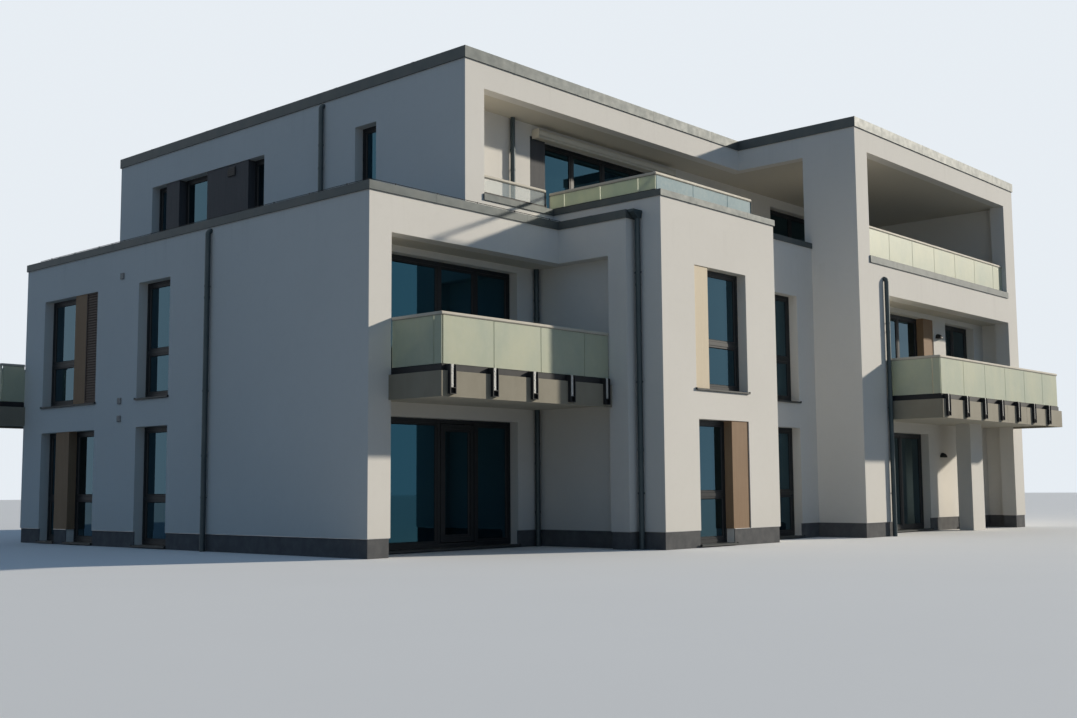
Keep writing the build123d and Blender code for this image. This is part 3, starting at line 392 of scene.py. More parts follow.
def renderFinish(name, kind, grainScale=150):
    # mineral render: scraped grain, faint clouds, rain marks under the copings, splashes low down
    coat = Finish(name, colors[kind], 0.9)
    dust = colors["renderDust"]
    coat.cloud(dust, 0.22, (0.35, 0.75), 0.55, 4)
    coat.cloud(dust, 0.14, (0.5, 0.8), 6.5, 5, rough=0.65)
    streaks = coat.noise(1.0, 5, (5.5, 5.5, 0.22), 0.6)
    z = coat.height()
    for top, depth in weather["rainLines"]:
        near = coat.range(z, 0.0, 1.0, top - depth, top)
        below = coat.math("LESS_THAN", z, top + weather["overLine"])
        marks = coat.math("MULTIPLY", coat.range(streaks, 0.0, 0.22, 0.54, 0.76), near)
        coat.blend(coat.math("MULTIPLY", marks, below), colors["rainStain"])
    splash = coat.range(z, 0.35, 0.0, weather["splashFull"], weather["splashTop"])
    coat.blend(coat.math("MULTIPLY", splash, coat.range(coat.noise(3.2, 5), 0.3, 1.0)), dust)
    return coat.done([(coat.noise(grainScale, 2, rough=0.7), 0.4, 0.0018), (coat.noise(26, 4), 0.12, 0.003),
                      (coat.noise(2.2, 2), 0.10, 0.006)])


def sheetFinish(name, kind, roughness, metallic):
    # folded sheet metal: patina clouds, run marks, fine rolling lines and a slight buckle
    coat = Finish(name, colors[kind], roughness, metallic)
    pale = colors[kind + "Pale"]
    coat.cloud(pale, 0.6, (0.38, 0.72), 2.6, 5, (1, 1, 0.6))
    coat.cloud(pale, 0.25, (0.5, 0.8), 38)
    coat.cloud(pale, 0.3, (0.55, 0.8), 9, 4, (1, 1, 0.12))
    rough = coat.range(coat.noise(7, 4), roughness - 0.06, roughness + 0.12)
    return coat.done([(coat.noise(11, 2), 0.06, 0.003), (coat.noise(1.6, 1), 0.05, 0.02)], rough)


def coatedFinish(name, kind, roughness, metallic=0.1, lift=1.5):
    # powder coat: even colour with a fine orange-peel skin and a little dust
    color = colors[kind]
    coat = Finish(name, color, roughness, metallic)
    coat.cloud(tuple(min(1, c * lift + 0.008) for c in color), 0.25, (0.4, 0.8), 6)
    coat.cloud(tuple(c * 0.7 + 0.03 for c in color), 0.18, (0.5, 0.8), 1.3, 5, (3, 3, 0.3))
    rough = coat.range(coat.noise(14), roughness - 0.06, roughness + 0.1)
    return coat.done([(coat.noise(420, 1), 0.12, 0.0006)], rough)


def stoneFinish(name, kind, scale, depth=0.002):
    # concrete, slabs and stones: broad clouds, pale grains and a rough face
    coat = Finish(name, colors[kind], 0.9)
    coat.cloud(colors[kind + "Pale"], 0.6, (0.35, 0.75), scale * 0.05, 4)
    coat.cloud(colors[kind + "Pale"], 0.5, (0.5, 0.75), scale, rough=0.7)
    return coat.done([(coat.noise(scale, 4, rough=0.7), 0.5, depth)])


def boardFinish(name, kind):
    # pressed facade board: upright brushed grain, soft clouds and a satin face
    color, pale = colors[kind], colors[kind + "Pale"]
    coat = Finish(name, color, 0.65)
    coat.cloud(pale, 0.55, (0.38, 0.72), 30, 5, (1, 1, 0.05), 0.6)
    coat.cloud(pale, 0.4, (0.4, 0.75), 1.4)
    coat.cloud(tuple(c * 0.6 for c in color), 0.3, (0.55, 0.8), 110, 2, (1, 1, 0.08))
    rough = coat.range(coat.noise(20), 0.58, 0.76)
    return coat.done([(coat.noise(60, 3, (1, 1, 0.06)), 0.18, 0.0012)], rough)


def roofFinish():
    # the roof slab: bitumen sheet above, painted render below where it covers the terraces
    coat = Finish("roofSheet", colors["roofing"], 0.9)
    coat.cloud(colors["roofingPale"], 0.6, (0.35, 0.75), 1.2, 4)
    coat.cloud(colors["roofingGrit"], 0.5, (0.5, 0.75), 90, rough=0.7)
    below = coat.math("LESS_THAN", coat.height(), corner("penthouse_roof_slab", 1).z - weather["underRoof"])
    coat.blend(below, colors["soffit"])
    return coat.done([(coat.noise(110, 4, rough=0.7), 0.4, 0.002)])


def windowGlassFinish():
    # coated double glazing: a dark body, a clear share, a cool strong mirror image, and darker clouds in the
    # body colour that are a painted reflection
    coat = Finish("windowGlass", colors["glass"], 0.02, shine=0.5)
    coat.shader.inputs["Transmission Weight"].default_value = glazing["clear"]
    coat.shader.inputs["IOR"].default_value = glazing["ior"]
    coat.shader.inputs["Specular Tint"].default_value = (*glazing["tint"], 1)
    # painted reflection: broad darker clouds in the base colour stand for what the panes mirror
    coat.cloud(colors["glassPaintedReflection"], 1.0, (0.4, 0.7), 0.8, 2)
    return coat.done([(coat.noise(0.9, 1), 0.02, 0.01)])


def milkFinish(name, kind, shine, clear):
    # laminated pane with a milky film: satin face, faint clouds in the film
    coat = Finish(name, colors[kind], 0.45, shine=shine)
    coat.shader.inputs["Transmission Weight"].default_value = clear
    coat.shader.inputs["Alpha"].default_value = 0.93
    coat.cloud(colors[kind + "Deep"], 0.8, (0.36, 0.68), 1.1, 4, (1, 1, 0.6), 0.6)
    coat.cloud(colors["film"], 0.15, (0.45, 0.75), 14, 4)
    return coat.done([(coat.noise(60, 2), 0.05, 0.001)])


def clearFinish():
    # clear pane: mostly seen through, with a faint cool haze
    coat = Finish("clearPane", colors["clear"], 0.05, shine=0.5)
    coat.shader.inputs["Alpha"].default_value = 0.2
    coat.cloud(colors["clearPale"], 0.3, (0.4, 0.7), 2.0)
    return coat.done([(coat.noise(1.0, 1), 0.02, 0.005)])


finishes = {
    "render": renderFinish("whiteRender", "render"), "soffit": renderFinish("creamSoffit", "soffit", 190),
    "concrete": stoneFinish("bareConcrete", "concrete", 60), "roofing": roofFinish(),
    "gravel": stoneFinish("roundGravel", "gravel", 45, 0.012),
    "plinth": stoneFinish("plinthRender", "plinth", 120),
    "paving": stoneFinish("terracePaving", "paving", 90, 0.001),
    "zinc": sheetFinish("zincSheet", "zinc", 0.5, 0.2), "pipe": sheetFinish("zincPipe", "pipe", 0.45, 0.2),
    "sill": sheetFinish("sillSheet", "sill", 0.5, 0.2),
    "fascia": sheetFinish("fasciaSheet", "fascia", 0.6, 0.05),
    "rail": sheetFinish("railSheet", "rail", 0.6, 0.05),
    "galvanised": sheetFinish("galvanisedPost", "galvanised", 0.55, 0.15),
    "handle": sheetFinish("handleSteel", "steel", 0.38, 0.7),
    "brown": boardFinish("brownBoard", "brown"), "cream": boardFinish("creamBoard", "cream"),
    "dark": boardFinish("darkBoard", "dark"),
    "anthracite": coatedFinish("anthraciteFrame", "anthracite", 0.4),
    "louvre": coatedFinish("brownLouvre", "louvre", 0.5),
    "bracket": coatedFinish("bracketSteel", "bracket", 0.5),
    "awning": coatedFinish("awningCream", "awning", 0.5, 0.0, 1.1),
    "vent": coatedFinish("ventPlastic", "vent", 0.5), "rubber": coatedFinish("gasketRubber", "rubber", 0.7),
    "glass": windowGlassFinish(), "clear": clearFinish(),
    "milky": milkFinish("milkyPane", "milky", 0.2, 0.2), "pale": milkFinish("palePane", "pale", 0.05, 0.0),
}

slotFinish = {
    "render_white": "render", "soffit_cream": "soffit", "concrete": "concrete", "roofing": "roofing",
    "plinth_grey": "plinth", "zinc_sheet": "zinc", "pipe_zinc": "pipe", "frame_anthracite": "anthracite",
    "window_glass": "glass", "sill_metal": "sill", "panel_brown": "brown", "panel_cream": "cream",
    "panel_dark": "dark", "louvre_brown": "louvre", "clamp_dark": "bracket", "fascia_grey": "fascia",
    "frosted_glass": "milky", "rail_aluminium": "rail", "bracket_steel": "bracket",
    "awning_cream": "awning", "vent_grey": "vent", "handle_steel": "handle",
}
for part in frame["record"]["subparts"]:
    piece = nodes[part["node"]]
    piece.data.materials.clear()
    piece.data.materials.append(finishes[slotFinish[part["material_slot"]]])
print("finishes made:", len(finishes))


# Repeats: a Geometry Nodes tree that sets one shape on every point of a mesh, turned by an attribute

def newTree(name, inputs):
    # an empty tree with its named input sockets and one geometry output
    tree = bpy.data.node_groups.new(name, "GeometryNodeTree")
    sockets = {key: tree.interface.new_socket(key, in_out="INPUT", socket_type="NodeSocket" + kind)
               for key, kind in inputs}
    tree.interface.new_socket("Geometry", in_out="OUTPUT", socket_type="NodeSocketGeometry")
    return tree, sockets, tree.nodes.new("NodeGroupInput").outputs


def handOut(tree, place, finish):
    # makes the instances real, sets their finish and hands them out
    real = tree.nodes.new("GeometryNodeRealizeInstances")
    paint = tree.nodes.new("GeometryNodeSetMaterial")
    end = tree.nodes.new("NodeGroupOutput")
    tree.links.new(place.outputs["Instances"], real.inputs["Geometry"])
    tree.links.new(real.outputs["Geometry"], paint.inputs["Geometry"])
    tree.links.new(finish, paint.inputs["Material"])
    tree.links.new(paint.outputs["Geometry"], end.inputs["Geometry"])


def repeatTree():
    tree, sockets, given = newTree("repeatOnPoints", (("Geometry", "Geometry"), ("Shape", "Object"),
                                                      ("Finish", "Material")))
    info = tree.nodes.new("GeometryNodeObjectInfo")
    turn = tree.nodes.new("GeometryNodeInputNamedAttribute")
    turn.data_type = "FLOAT_VECTOR"
    turn.inputs["Name"].default_value = "turn"
    euler = tree.nodes.new("FunctionNodeEulerToRotation")
    place = tree.nodes.new("GeometryNodeInstanceOnPoints")
    for source, target in (
            (given["Geometry"], place.inputs["Points"]),
            (given["Shape"], info.inputs["Object"]),
            (info.outputs["Geometry"], place.inputs["Instance"]),
            (turn.outputs["Attribute"], euler.inputs["Euler"]),
            (euler.outputs["Rotation"], place.inputs["Rotation"])):
        tree.links.new(source, target)
    handOut(tree, place, given["Finish"])
    return tree, sockets


def runTree(name, mesh, tree, sockets, values):
    # the tree's mesh for a holder that is there only while it is made
    holder = newObject(name + "Holder", mesh)
    modifier = holder.modifiers.new("repeat", "NODES")
    modifier.node_group = tree
    for key, value in values.items():
        modifier[sockets[key].identifier] = value
    graph = bpy.context.evaluated_depsgraph_get()
    made = bpy.data.meshes.new_from_object(holder.evaluated_get(graph))
    made.name = name
    bpy.data.objects.remove(holder)
    return made


repeatNodes, repeatSockets = repeatTree()


def repeatShape(name, shape, spots, finish, smooth=None):
    # spots are (point, turn about Z in degrees)
    mesh = bpy.data.meshes.new(name + "Spots")
    mesh.from_pydata([point for point, turn in spots], [], [])
    turns = mesh.attributes.new("turn", "FLOAT_VECTOR", "POINT")
    for index, (point, turn) in enumerate(spots):
        turns.data[index].vector = (0, 0, math.radians(turn))
    made = runTree(name, mesh, repeatNodes, repeatSockets, {"Shape": shape, "Finish": finishes[finish]})
    bpy.data.objects.remove(shape)
    addMesh(name, made, finish, smooth=smooth)


def shapeObject(name, bm):
    return newObject(name, meshOf(name, bm))


def facing(low, high):
    # a thin upright pane's run, its way out of the building, and the turn of a shape made facing -Y
    if high.x - low.x < high.y - low.y:
        return north, -east, -90
    rear = (low.y + high.y) / 2 > rearLine
    return east, north if rear else -north, 180 if rear else 0


# Frames, door leaf, clamp rails and handrails with rounded arrises instead of knife edges

arris = {"frame": 0.004, "clamp": 0.004, "rail": 0.012}
frameNodes = ("ground_floor_window_frames", "first_floor_window_frames", "penthouse_window_frames",
              "terrace_door_frame")
for node, name in zip(frameNodes, ("groundFloorFrames", "firstFloorFrames", "penthouseFrames", "doorFrame")):
    softened(node, name, arris["frame"], "anthracite")
softened("terrace_door_leaf", "doorLeaf", arris["frame"], "anthracite", "terrace_door")
softened("railing_clamp_rails", "clampRails", arris["clamp"], "bracket")
softened("handrails", "railCaps", arris["rail"], "rail", segments=4)
print("frames and rails softened")


# Window sashes, beads and gaskets, inside and outside each pane

sash = {"width": 0.042, "rise": 0.021, "inner": 0.019, "bead": 0.004, "gasket": 0.008,
        "lip": 0.005, "lipEdge": 0.004}


def sashSets(name, glassNode, body="building"):
    ring, rubber = bmesh.new(), bmesh.new()
    w, b, g = sash["width"], sash["bead"], sash["gasket"]
    for low, high in solidsOf(glassNode):
        along, out, turn = facing(low, high)
        size = high - low
        half = size.dot(along) / 2
        thick = abs(size.dot(out)) / 2
        for way, rise in ((out, sash["rise"]), (-out, sash["inner"])):
            face = (low + high) / 2 + way * thick
            sweepRing(ring, face, along, upward, way, half, size.z / 2,
                      [(0, 0), (0, rise - b), (b, rise), (w - 2 * b, rise), (w, rise - 2.5 * b), (w, 0)])
            sweepRing(rubber, face, along, upward, way, half - w, size.z / 2 - w,
                      [(0, 0), (0, sash["lip"]), (g * 0.6, sash["lipEdge"]), (g, 0.0)])
    addPiece(name + "Sashes", ring, "anthracite", body)
    addPiece(name + "Gaskets", rubber, "rubber", body)


sashSets("groundFloor", "ground_floor_glass")
sashSets("firstFloor", "first_floor_glass")
sashSets("penthouse", "penthouse_glass")
sashSets("terraceDoor", "terrace_door_glass", "terrace_door")
print("window sashes made")


# Sheet sills: a folded nose along each group, a sloping bed under each window, and end caps

sill = {"fall": 0.012, "nose": 0.030, "sheet": 0.004, "cap": 0.014, "capThick": 0.006, "out": 0.040,
        "overlap": 0.002, "bed": 0.285, "shallow": 0.045, "side": 0.030, "level": 0.01, "nearWall": 0.5}
sills, caps = bmesh.new(), bmesh.new()
frameBoxes = [box for name in frameNodes for box in solidsOf(name)]


def sillWay(low, high):
    # the run of a sill, its way into the building and its outer line, from the nearest wall plane
    if high.y - low.y > high.x - low.x:
        return north, east, low.x
    if (low.y + high.y) / 2 > rearLine:
        return east, -north, high.y
    return east, north, low.y


def sheetBed(start, end, inward, depth, top):
    f, s = sill["fall"], sill["sheet"]
    near, far = sill["out"] - sill["overlap"], sill["out"] + depth
    profile = [(near, -f), (near, -f - s), (far, -s), (far, 0)]
    sweepLine(sills, start + upward * top, end + upward * top, inward, upward, profile)


for low, high in solidsOf("window_sills"):
    along, inward, edge = sillWay(low, high)
    across = inward * edge * (inward.x + inward.y)
    first, last = low.dot(along), high.dot(along)
    top, f, n, s = high.z, sill["fall"], sill["nose"], sill["sheet"]
    start, end = along * first + across, along * last + across
    nose = [(0, -f), (0, -n - f), (s, -n - f), (s, -f - s), (sill["out"], -f - s), (sill["out"], -f)]
    sweepLine(sills, start + upward * top, end + upward * top, inward, upward, nose)
    shift = along * sill["side"]
    sheetBed(start + shift, end - shift, inward, sill["shallow"], top)
    for frameLow, frameHigh in frameBoxes:
        left, right = frameLow.dot(along), frameHigh.dot(along)
        onSill = abs(frameLow.z - top) < sill["level"] and first < left and right < last
        depth = (frameLow + frameHigh).dot(inward) / 2 - edge * (inward.x + inward.y)
        if onSill and abs(depth) < sill["nearWall"]:
            sheetBed(along * left + across, along * right + across, inward, sill["bed"], top)
    for point, way in ((start, 1), (end, -1)):
        far = point + along * way * sill["capThick"] + inward * (sill["out"] - sill["overlap"])
        addBox(caps, point + upward * (top - f - n), far + upward * (top - f + sill["cap"]))
windowSills = addPiece("windowSills", sills, "sill")
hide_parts("window_sills")
addPiece("sillEndCaps", caps, "sill")
print("sills made")


# Facade boards: rivets in upright rows along the edges and, on wide boards, between them

rivet = {"radius": 0.008, "head": 0.003, "dome": ((1.0, 0.0), (0.96, 0.45), (0.6, 0.9)), "sides": 8,
         "edge": 0.050, "end": 0.060, "pitch": 0.56}


def rivetHead():
    # a low domed head that faces -Y
    bm = bmesh.new()
    rings = []
    for width, rise in rivet["dome"]:
        r, y = rivet["radius"] * width, -rivet["head"] * rise
        rings.append([bm.verts.new((r * math.cos(t), y, r * math.sin(t))) for t in circle(rivet["sides"])])
    skin(bm, rings)
    bm.faces.new(rings[0])
    bm.faces.new(rings[-1])
    return shapeObject("rivetShape", bm)


def rivetSpots(node):
    spots = []
    for low, high in solidsOf(node):
        along, out, turn = facing(low, high)
        first, last = low.dot(along) + rivet["edge"], high.dot(along) - rivet["edge"]
        edge = max(low.dot(out), high.dot(out))
        rows = max(2, math.ceil((high.z - low.z - 2 * rivet["end"]) / rivet["pitch"]) + 1)
        columns = max(2, math.ceil((last - first) / (2 * rivet["pitch"])) + 1)
        for z in evenly(low.z + rivet["end"], high.z - rivet["end"], rows):
            for place in evenly(first, last, columns):
                spots.append((along * place + out * edge + upward * z, turn))
    return spots


for node, finish, slot in (("brown_panels", "brown", "panel_brown"), ("cream_panel", "cream", "panel_cream"),
                           ("dark_panels", "dark", "panel_dark")):
    repeatShape(finish + "Rivets", rivetHead(), rivetSpots(node), finish, smooth=40)
print("boards riveted")


# Louvred panel beside the first-floor window of the left wall

louvre = {"pitch": 0.055, "edge": 0.030, "deep": 0.025, "chamfer": 0.002, "back": 0.003, "inset": 0.005,
          "behind": 0.001, "slat": [(0, -0.020), (0.003, -0.023), (0.006, -0.020), (0.022, 0.018),
                                    (0.022, 0.022), (0.018, 0.022)]}
low, high = corners("louvred_panel")
middle, size, rim = (low + high) / 2, high - low, louvre["edge"]
slat = bmesh.new()
half = vec(0, size.y / 2 - rim, 0)
sweepLine(slat, -half, half, east, upward, louvre["slat"])
count = int((size.z - 2 * rim) / louvre["pitch"])
firstZ = middle.z - (count - 1) * louvre["pitch"] / 2
slatSpots = [(vec(low.x + louvre["behind"], middle.y, firstZ + step * louvre["pitch"]), 0)
             for step in range(count)]
repeatShape("louvreSlats", shapeObject("slatShape", slat), slatSpots, "louvre")
louvreFrame = bmesh.new()
sweepRing(louvreFrame, vec(low.x, middle.y, middle.z), north, upward, east, size.y / 2, size.z / 2,
          [(0, 0.0), (0, louvre["deep"]), (rim, louvre["deep"]), (rim, louvre["chamfer"]),
           (rim - louvre["chamfer"], 0.0)])
inset = vec(0, louvre["inset"], louvre["inset"])
addBox(louvreFrame, vec(high.x - louvre["back"], low.y, low.z) + inset, high - inset)
louvreSurround = addPiece("louvreSurround", louvreFrame, "louvre")
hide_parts("louvred_panel")
print("louvre made:", count, "slats")


# Rainwater pipes with sleeves, and an elbow into the wall where a coping stands above the pipe

pipes = {"radius": 0.050, "sleeve": 0.0545, "sleeveLong": 0.055, "sleevePitch": 2.4, "sleeveRise": 0.25,
         "tuck": 0.001, "lipLow": 0.003, "lipHigh": 0.006, "standOff": 0.056, "bentTops": (5.80, 6.03),
         "sameTop": 0.02, "bentAbove": 8.9, "elbow": 0.070, "elbowSteps": 8, "sides": 24, "clampPitch": 1.9}
pipeBody, clampSpots = bmesh.new(), []
for low, high in solidsOf("downpipes"):
    size, s = high - low, pipes["standOff"]
    if size.x > size.y:
        axis, into, turn = vec(low.x + s, (low.y + high.y) / 2, 0), east, -90
    elif (low.y + high.y) / 2 > rearLine:
        axis, into, turn = vec((low.x + high.x) / 2, high.y - s, 0), -north, 180
    else:
        axis, into, turn = vec((low.x + high.x) / 2, low.y + s, 0), north, 0
    elbow = pipes["elbow"]
    bent = (high.z > pipes["bentAbove"]
            or any(abs(high.z - level) < pipes["sameTop"] for level in pipes["bentTops"]))
    top = high.z - elbow - pipes["radius"] if bent else high.z
    path = [axis + upward * low.z, axis + upward * top]
    if bent:
        turnPoint = axis + upward * top + into * elbow
        for t in quarter(pipes["elbowSteps"])[1:]:
            path.append(turnPoint - into * elbow * math.cos(t) + upward * elbow * math.sin(t))
    sweepTube(pipeBody, path, pipes["radius"], pipes["sides"])
    r, q, h = pipes["radius"] - pipes["tuck"], pipes["sleeve"], pipes["sleeveLong"]
    for z in middles(low.z, top, max(1, int((top - low.z) / pipes["sleevePitch"]))):
        foot = z + pipes["sleeveRise"]
        sleeve = [axis + upward * (foot + d) for d in (0, pipes["lipLow"], h - pipes["lipHigh"], h)]
        sweepTube(pipeBody, sleeve, [r, q, q, r], pipes["sides"])
    for z in middles(low.z, top, max(2, round((top - low.z) / pipes["clampPitch"]))):
        clampSpots.append((axis + upward * z, turn))
downpipes = addPiece("rainwaterPipes", pipeBody, "pipe", smooth=40)
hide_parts("downpipes")

# Their clamps: a ring with two bolted ears and a stub to the wall
pipeClamp = {"inner": 0.0505, "outer": 0.0555, "half": 0.013, "sides": 24, "ear": 0.066, "earLong": 0.012,
             "earDeep": 0.007, "arris": 0.002, "bolt": 0.068, "boltRadius": 0.005, "boltHalf": 0.012,
             "stub": (0.052, 0.071), "stubRadius": 0.007}
clamp = bmesh.new()
inner, outer, h, pin = (pipeClamp[key] for key in ("inner", "outer", "half", "boltHalf"))
section = ((inner, -h), (inner, h), (outer, h), (outer, -h))
ring = [[clamp.verts.new((r * math.cos(t), r * math.sin(t), z)) for r, z in section]
        for t in circle(pipeClamp["sides"])]
skin(clamp, ring + ring[:1])
for way in (-1, 1):
    ear, half = vec(way * pipeClamp["ear"], 0, 0), vec(pipeClamp["earLong"], pipeClamp["earDeep"], h)
    addBox(clamp, ear - half, ear + half, pipeClamp["arris"])
    sweepTube(clamp, [vec(way * pipeClamp["bolt"], depth, 0) for depth in (-pin, pin)],
              pipeClamp["boltRadius"], sides=8)
sweepTube(clamp, [vec(0, depth, 0) for depth in pipeClamp["stub"]], pipeClamp["stubRadius"], sides=10)
repeatShape("pipeClamps", shapeObject("clampShape", clamp), clampSpots, "pipe", smooth=40)
print("pipes made:", len(clampSpots), "clamps")


# Awning cassette: a rounded case with end caps and a front bar

awning = {"round": 0.055, "deeper": 1.5, "foot": 0.02, "hollow": 0.03, "lip": 0.05, "cap": 0.012,
          "capInset": 0.004, "bar": 0.050, "barInset": 0.02, "barDeep": 0.035, "barGap": 0.008,
          "barArris": 0.008}
low, high = corners("awning_cassette")
depth, tall = high.y - low.y, high.z - low.z
r, n, bar, cap, e = (awning[key] for key in ("round", "hollow", "bar", "cap", "capInset"))
outline = [(depth, awning["foot"]), (depth, tall)]
for t in quarter(6):
    outline.append((r * awning["deeper"] * (1 - math.sin(t)), tall - r + r * math.cos(t)))
for t in quarter(4):
    outline.append((n - n * math.cos(t), bar + n - n * math.sin(t)))
outline += [(awning["lip"], bar), (awning["lip"], awning["foot"])]
case = bmesh.new()
sweepLine(case, vec(low.x + cap, low.y, low.z), vec(high.x - cap, low.y, low.z), north, upward, outline)
for x in (low.x, high.x - cap):
    addBox(case, (x, low.y + e, low.z + e), (x + cap, high.y, high.z), e)
addBox(case, (low.x + awning["barInset"], low.y, low.z),
       (high.x - awning["barInset"], low.y + awning["barDeep"], low.z + bar - awning["barGap"]),
       awning["barArris"])
awningCase = addPiece("awningCase", case, "awning", smooth=35)
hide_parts("awning_cassette")
print("awning made")


# Ventilation cowls: a rounded hood with three slots, drawn as near-black boxes that are painted shade in
# place of openings; the one on the penthouse board is dark

cowl = {"round": 0.010, "slots": 3, "slot": 0.010, "lip": 0.0008, "first": 0.2, "pitch": 0.24,
        "side": 0.022, "deep": 0.006}
hoods, darkHoods, slotShades = bmesh.new(), bmesh.new(), bmesh.new()
roofLine = corner("main_coping", 1).z
for low, high in solidsOf("vent_cowls"):
    dark = low.z > roofLine
    addBox(darkHoods if dark else hoods, low, high, cowl["round"])
    for k in range(cowl["slots"]):
        z = low.z + (high.z - low.z) * (cowl["first"] + cowl["pitch"] * k)
        # painted shade: a near-black box in each slot stands for the shade inside the opening
        addBox(slotShades, (low.x + (-1 if dark else 1) * cowl["lip"], low.y + cowl["side"], z),
               (low.x + cowl["deep"], high.y - cowl["side"], z + cowl["slot"]))
cowls = addPiece("ventHoods", hoods, "vent")
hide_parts("vent_cowls")
addPiece("ventHoodDark", darkHoods, "bracket")
addPiece("ventSlots", slotShades, "rubber")


# Wall lights on the right wing's set-back wall, one a storey: quarter globes with the flat side down

wallLight = {"radius": 0.13, "high": 0.12, "around": 12, "levels": 5, "x": 7.38, "feet": (1.81, 4.83)}


def quarterGlobe():
    # it faces -Y, and its foot is at the origin
    bm = bmesh.new()
    rings, high, around = [], wallLight["high"], wallLight["around"]
    for rise in quarter(wallLight["levels"])[:-1]:
        out = wallLight["radius"] * math.cos(rise)
        rings.append([bm.verts.new((-out * math.cos(turn), -out * math.sin(turn), high * math.sin(rise)))
                      for turn in evenly(0, math.pi, around + 1)])
    top = bm.verts.new((0, 0, high))
    for step in range(around):
        for here, there in zip(rings, rings[1:]):
            bm.faces.new((here[step], here[step + 1], there[step + 1], there[step]))
        bm.faces.new((rings[-1][step], rings[-1][step + 1], top))
    bm.faces.new(rings[0])
    bm.faces.new([ring[0] for ring in rings] + [top] + [ring[-1] for ring in reversed(rings)])
    return shapeObject("lightShape", bm)


setBack = corner("right_wing_back_wall", 0).y
lightSpots = [(vec(wallLight["x"], setBack, foot), 0) for foot in wallLight["feet"]]
repeatShape("wallLights", quarterGlobe(), lightSpots, "bracket", smooth=35)
print("wall lights made:", len(wallLight["feet"]), "on the wall at y", round(setBack, 3))


# Balcony brackets: dark upright bars and foot, a pale post between them, hexagon bolts

bracket = {"bar": 0.014, "post": 0.060, "back": 0.020, "depth": 0.060, "foot": 0.105, "out": 0.055,
           "cut": 0.020, "arris": 0.003, "wall": 0.010, "bolt": 0.010, "head": 0.007, "boltUp": 0.05,
           "boltDown": 0.04}
bars, posts, bracketBolts = bmesh.new(), bmesh.new(), []
fasciaTop = corner("balcony_fascia", 1).z
for low, high in solidsOf("balcony_brackets"):
    rear = (low.y + high.y) / 2 > rearLine
    way = 1 if rear else -1                       # outwards
    front = high.y if rear else low.y
    sheet, plane = front - way * bracket["depth"], front - way * (bracket["depth"] + bracket["out"])
    cut = bracket["cut"]
    plate = [(front, low.z), (front, high.z - cut), (front - way * cut, high.z), (plane, high.z),
             (plane, fasciaTop), (sheet, fasciaTop), (sheet, low.z)]
    for x in (low.x, high.x - bracket["bar"]):
        sweepLine(bars, vec(x, 0, 0), vec(x + bracket["bar"], 0, 0), north, upward, plate)
    left, right = low.x + bracket["bar"], high.x - bracket["bar"]
    footTop, wall = low.z + bracket["foot"], bracket["wall"]
    for z in (low.z, footTop - wall):             # the foot is a channel laid on its back
        addBox(bars, (left, front, z), (right, sheet, z + wall))
    addBox(bars, (left, sheet, low.z + wall), (right, sheet + way * wall, footTop - wall))
    middle, half = (low.x + high.x) / 2, bracket["post"] / 2
    face = front - way * bracket["back"]
    for back, foot, head in ((sheet, footTop, fasciaTop), (plane, fasciaTop, high.z)):
        addBox(posts, (middle - half, face, foot), (middle + half, back, head), bracket["arris"])
    for z in (footTop + bracket["boltUp"], fasciaTop - bracket["boltDown"], (fasciaTop + high.z) / 2):
        bracketBolts.append((vec(middle, face, z), 180 if rear else 0))
bracketBars = addPiece("bracketBars", bars, "bracket")
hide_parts("balcony_brackets")
addPiece("bracketPosts", posts, "galvanised")


bolt = {"washer": 1.35, "washerThick": 0.2, "foot": 0.15, "bevelFrom": 0.85, "bevelTo": 0.85}


def hexHead(radius, head):
    # a washer and a hexagon head that face -Y
    bm = bmesh.new()
    sweepTube(bm, [vec(0, 0, 0), -north * bolt["washerThick"] * head], radius * bolt["washer"], sides=12)
    sweepTube(bm, [-north * share * head for share in (bolt["foot"], bolt["bevelFrom"], 1)],
              [radius, radius, radius * bolt["bevelTo"]], sides=6)
    return shapeObject("boltShape", bm)


repeatShape("bracketBolts", hexHead(bracket["bolt"], bracket["head"]), bracketBolts, "handle",
            smooth=30)
print("brackets made:", len(bracketBolts) // 3)


# Railing panes with ground edges: milky film on the balconies, on the terrace a thinner one that lets
# the low sun through, and clear glass in front of the penthouse pillar

pane = {"arris": 0.002, "seal": 0.004, "sealHigh": 0.012, "underCoping": 0.3}
milky, sides, pale, clear, seals = (bmesh.new() for kind in range(5))
terraceLine = corner("terrace_coping", 1).z - pane["underCoping"]
upstandEdge = corner("bay_left_wall", 0).x
for low, high in solidsOf("railing_glass"):
    runsX = high.x - low.x > high.y - low.y
    if low.z < terraceLine:
        sheet = milky
    elif high.x < upstandEdge:
        sheet = clear
    else:
        sheet = pale if runsX else sides
    addBox(sheet, low, high, pane["arris"])
    spread = (north if runsX else east) * pane["seal"]
    addBox(seals, low - spread, vec(high.x, high.y, low.z + pane["sealHigh"]) + spread)
    addBox(seals, vec(low.x, low.y, high.z - pane["seal"]) - spread, high + spread)
milkyPanes = addPiece("milkyPanes", milky, "milky")
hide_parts("railing_glass")
for name, sheet, finish in (("sidePanes", sides, "milky"), ("palePanes", pale, "pale"),
                            ("clearPanes", clear, "clear")):
    addPiece(name, sheet, finish).visible_shadow = False
addPiece("paneSeals", seals, "rubber")

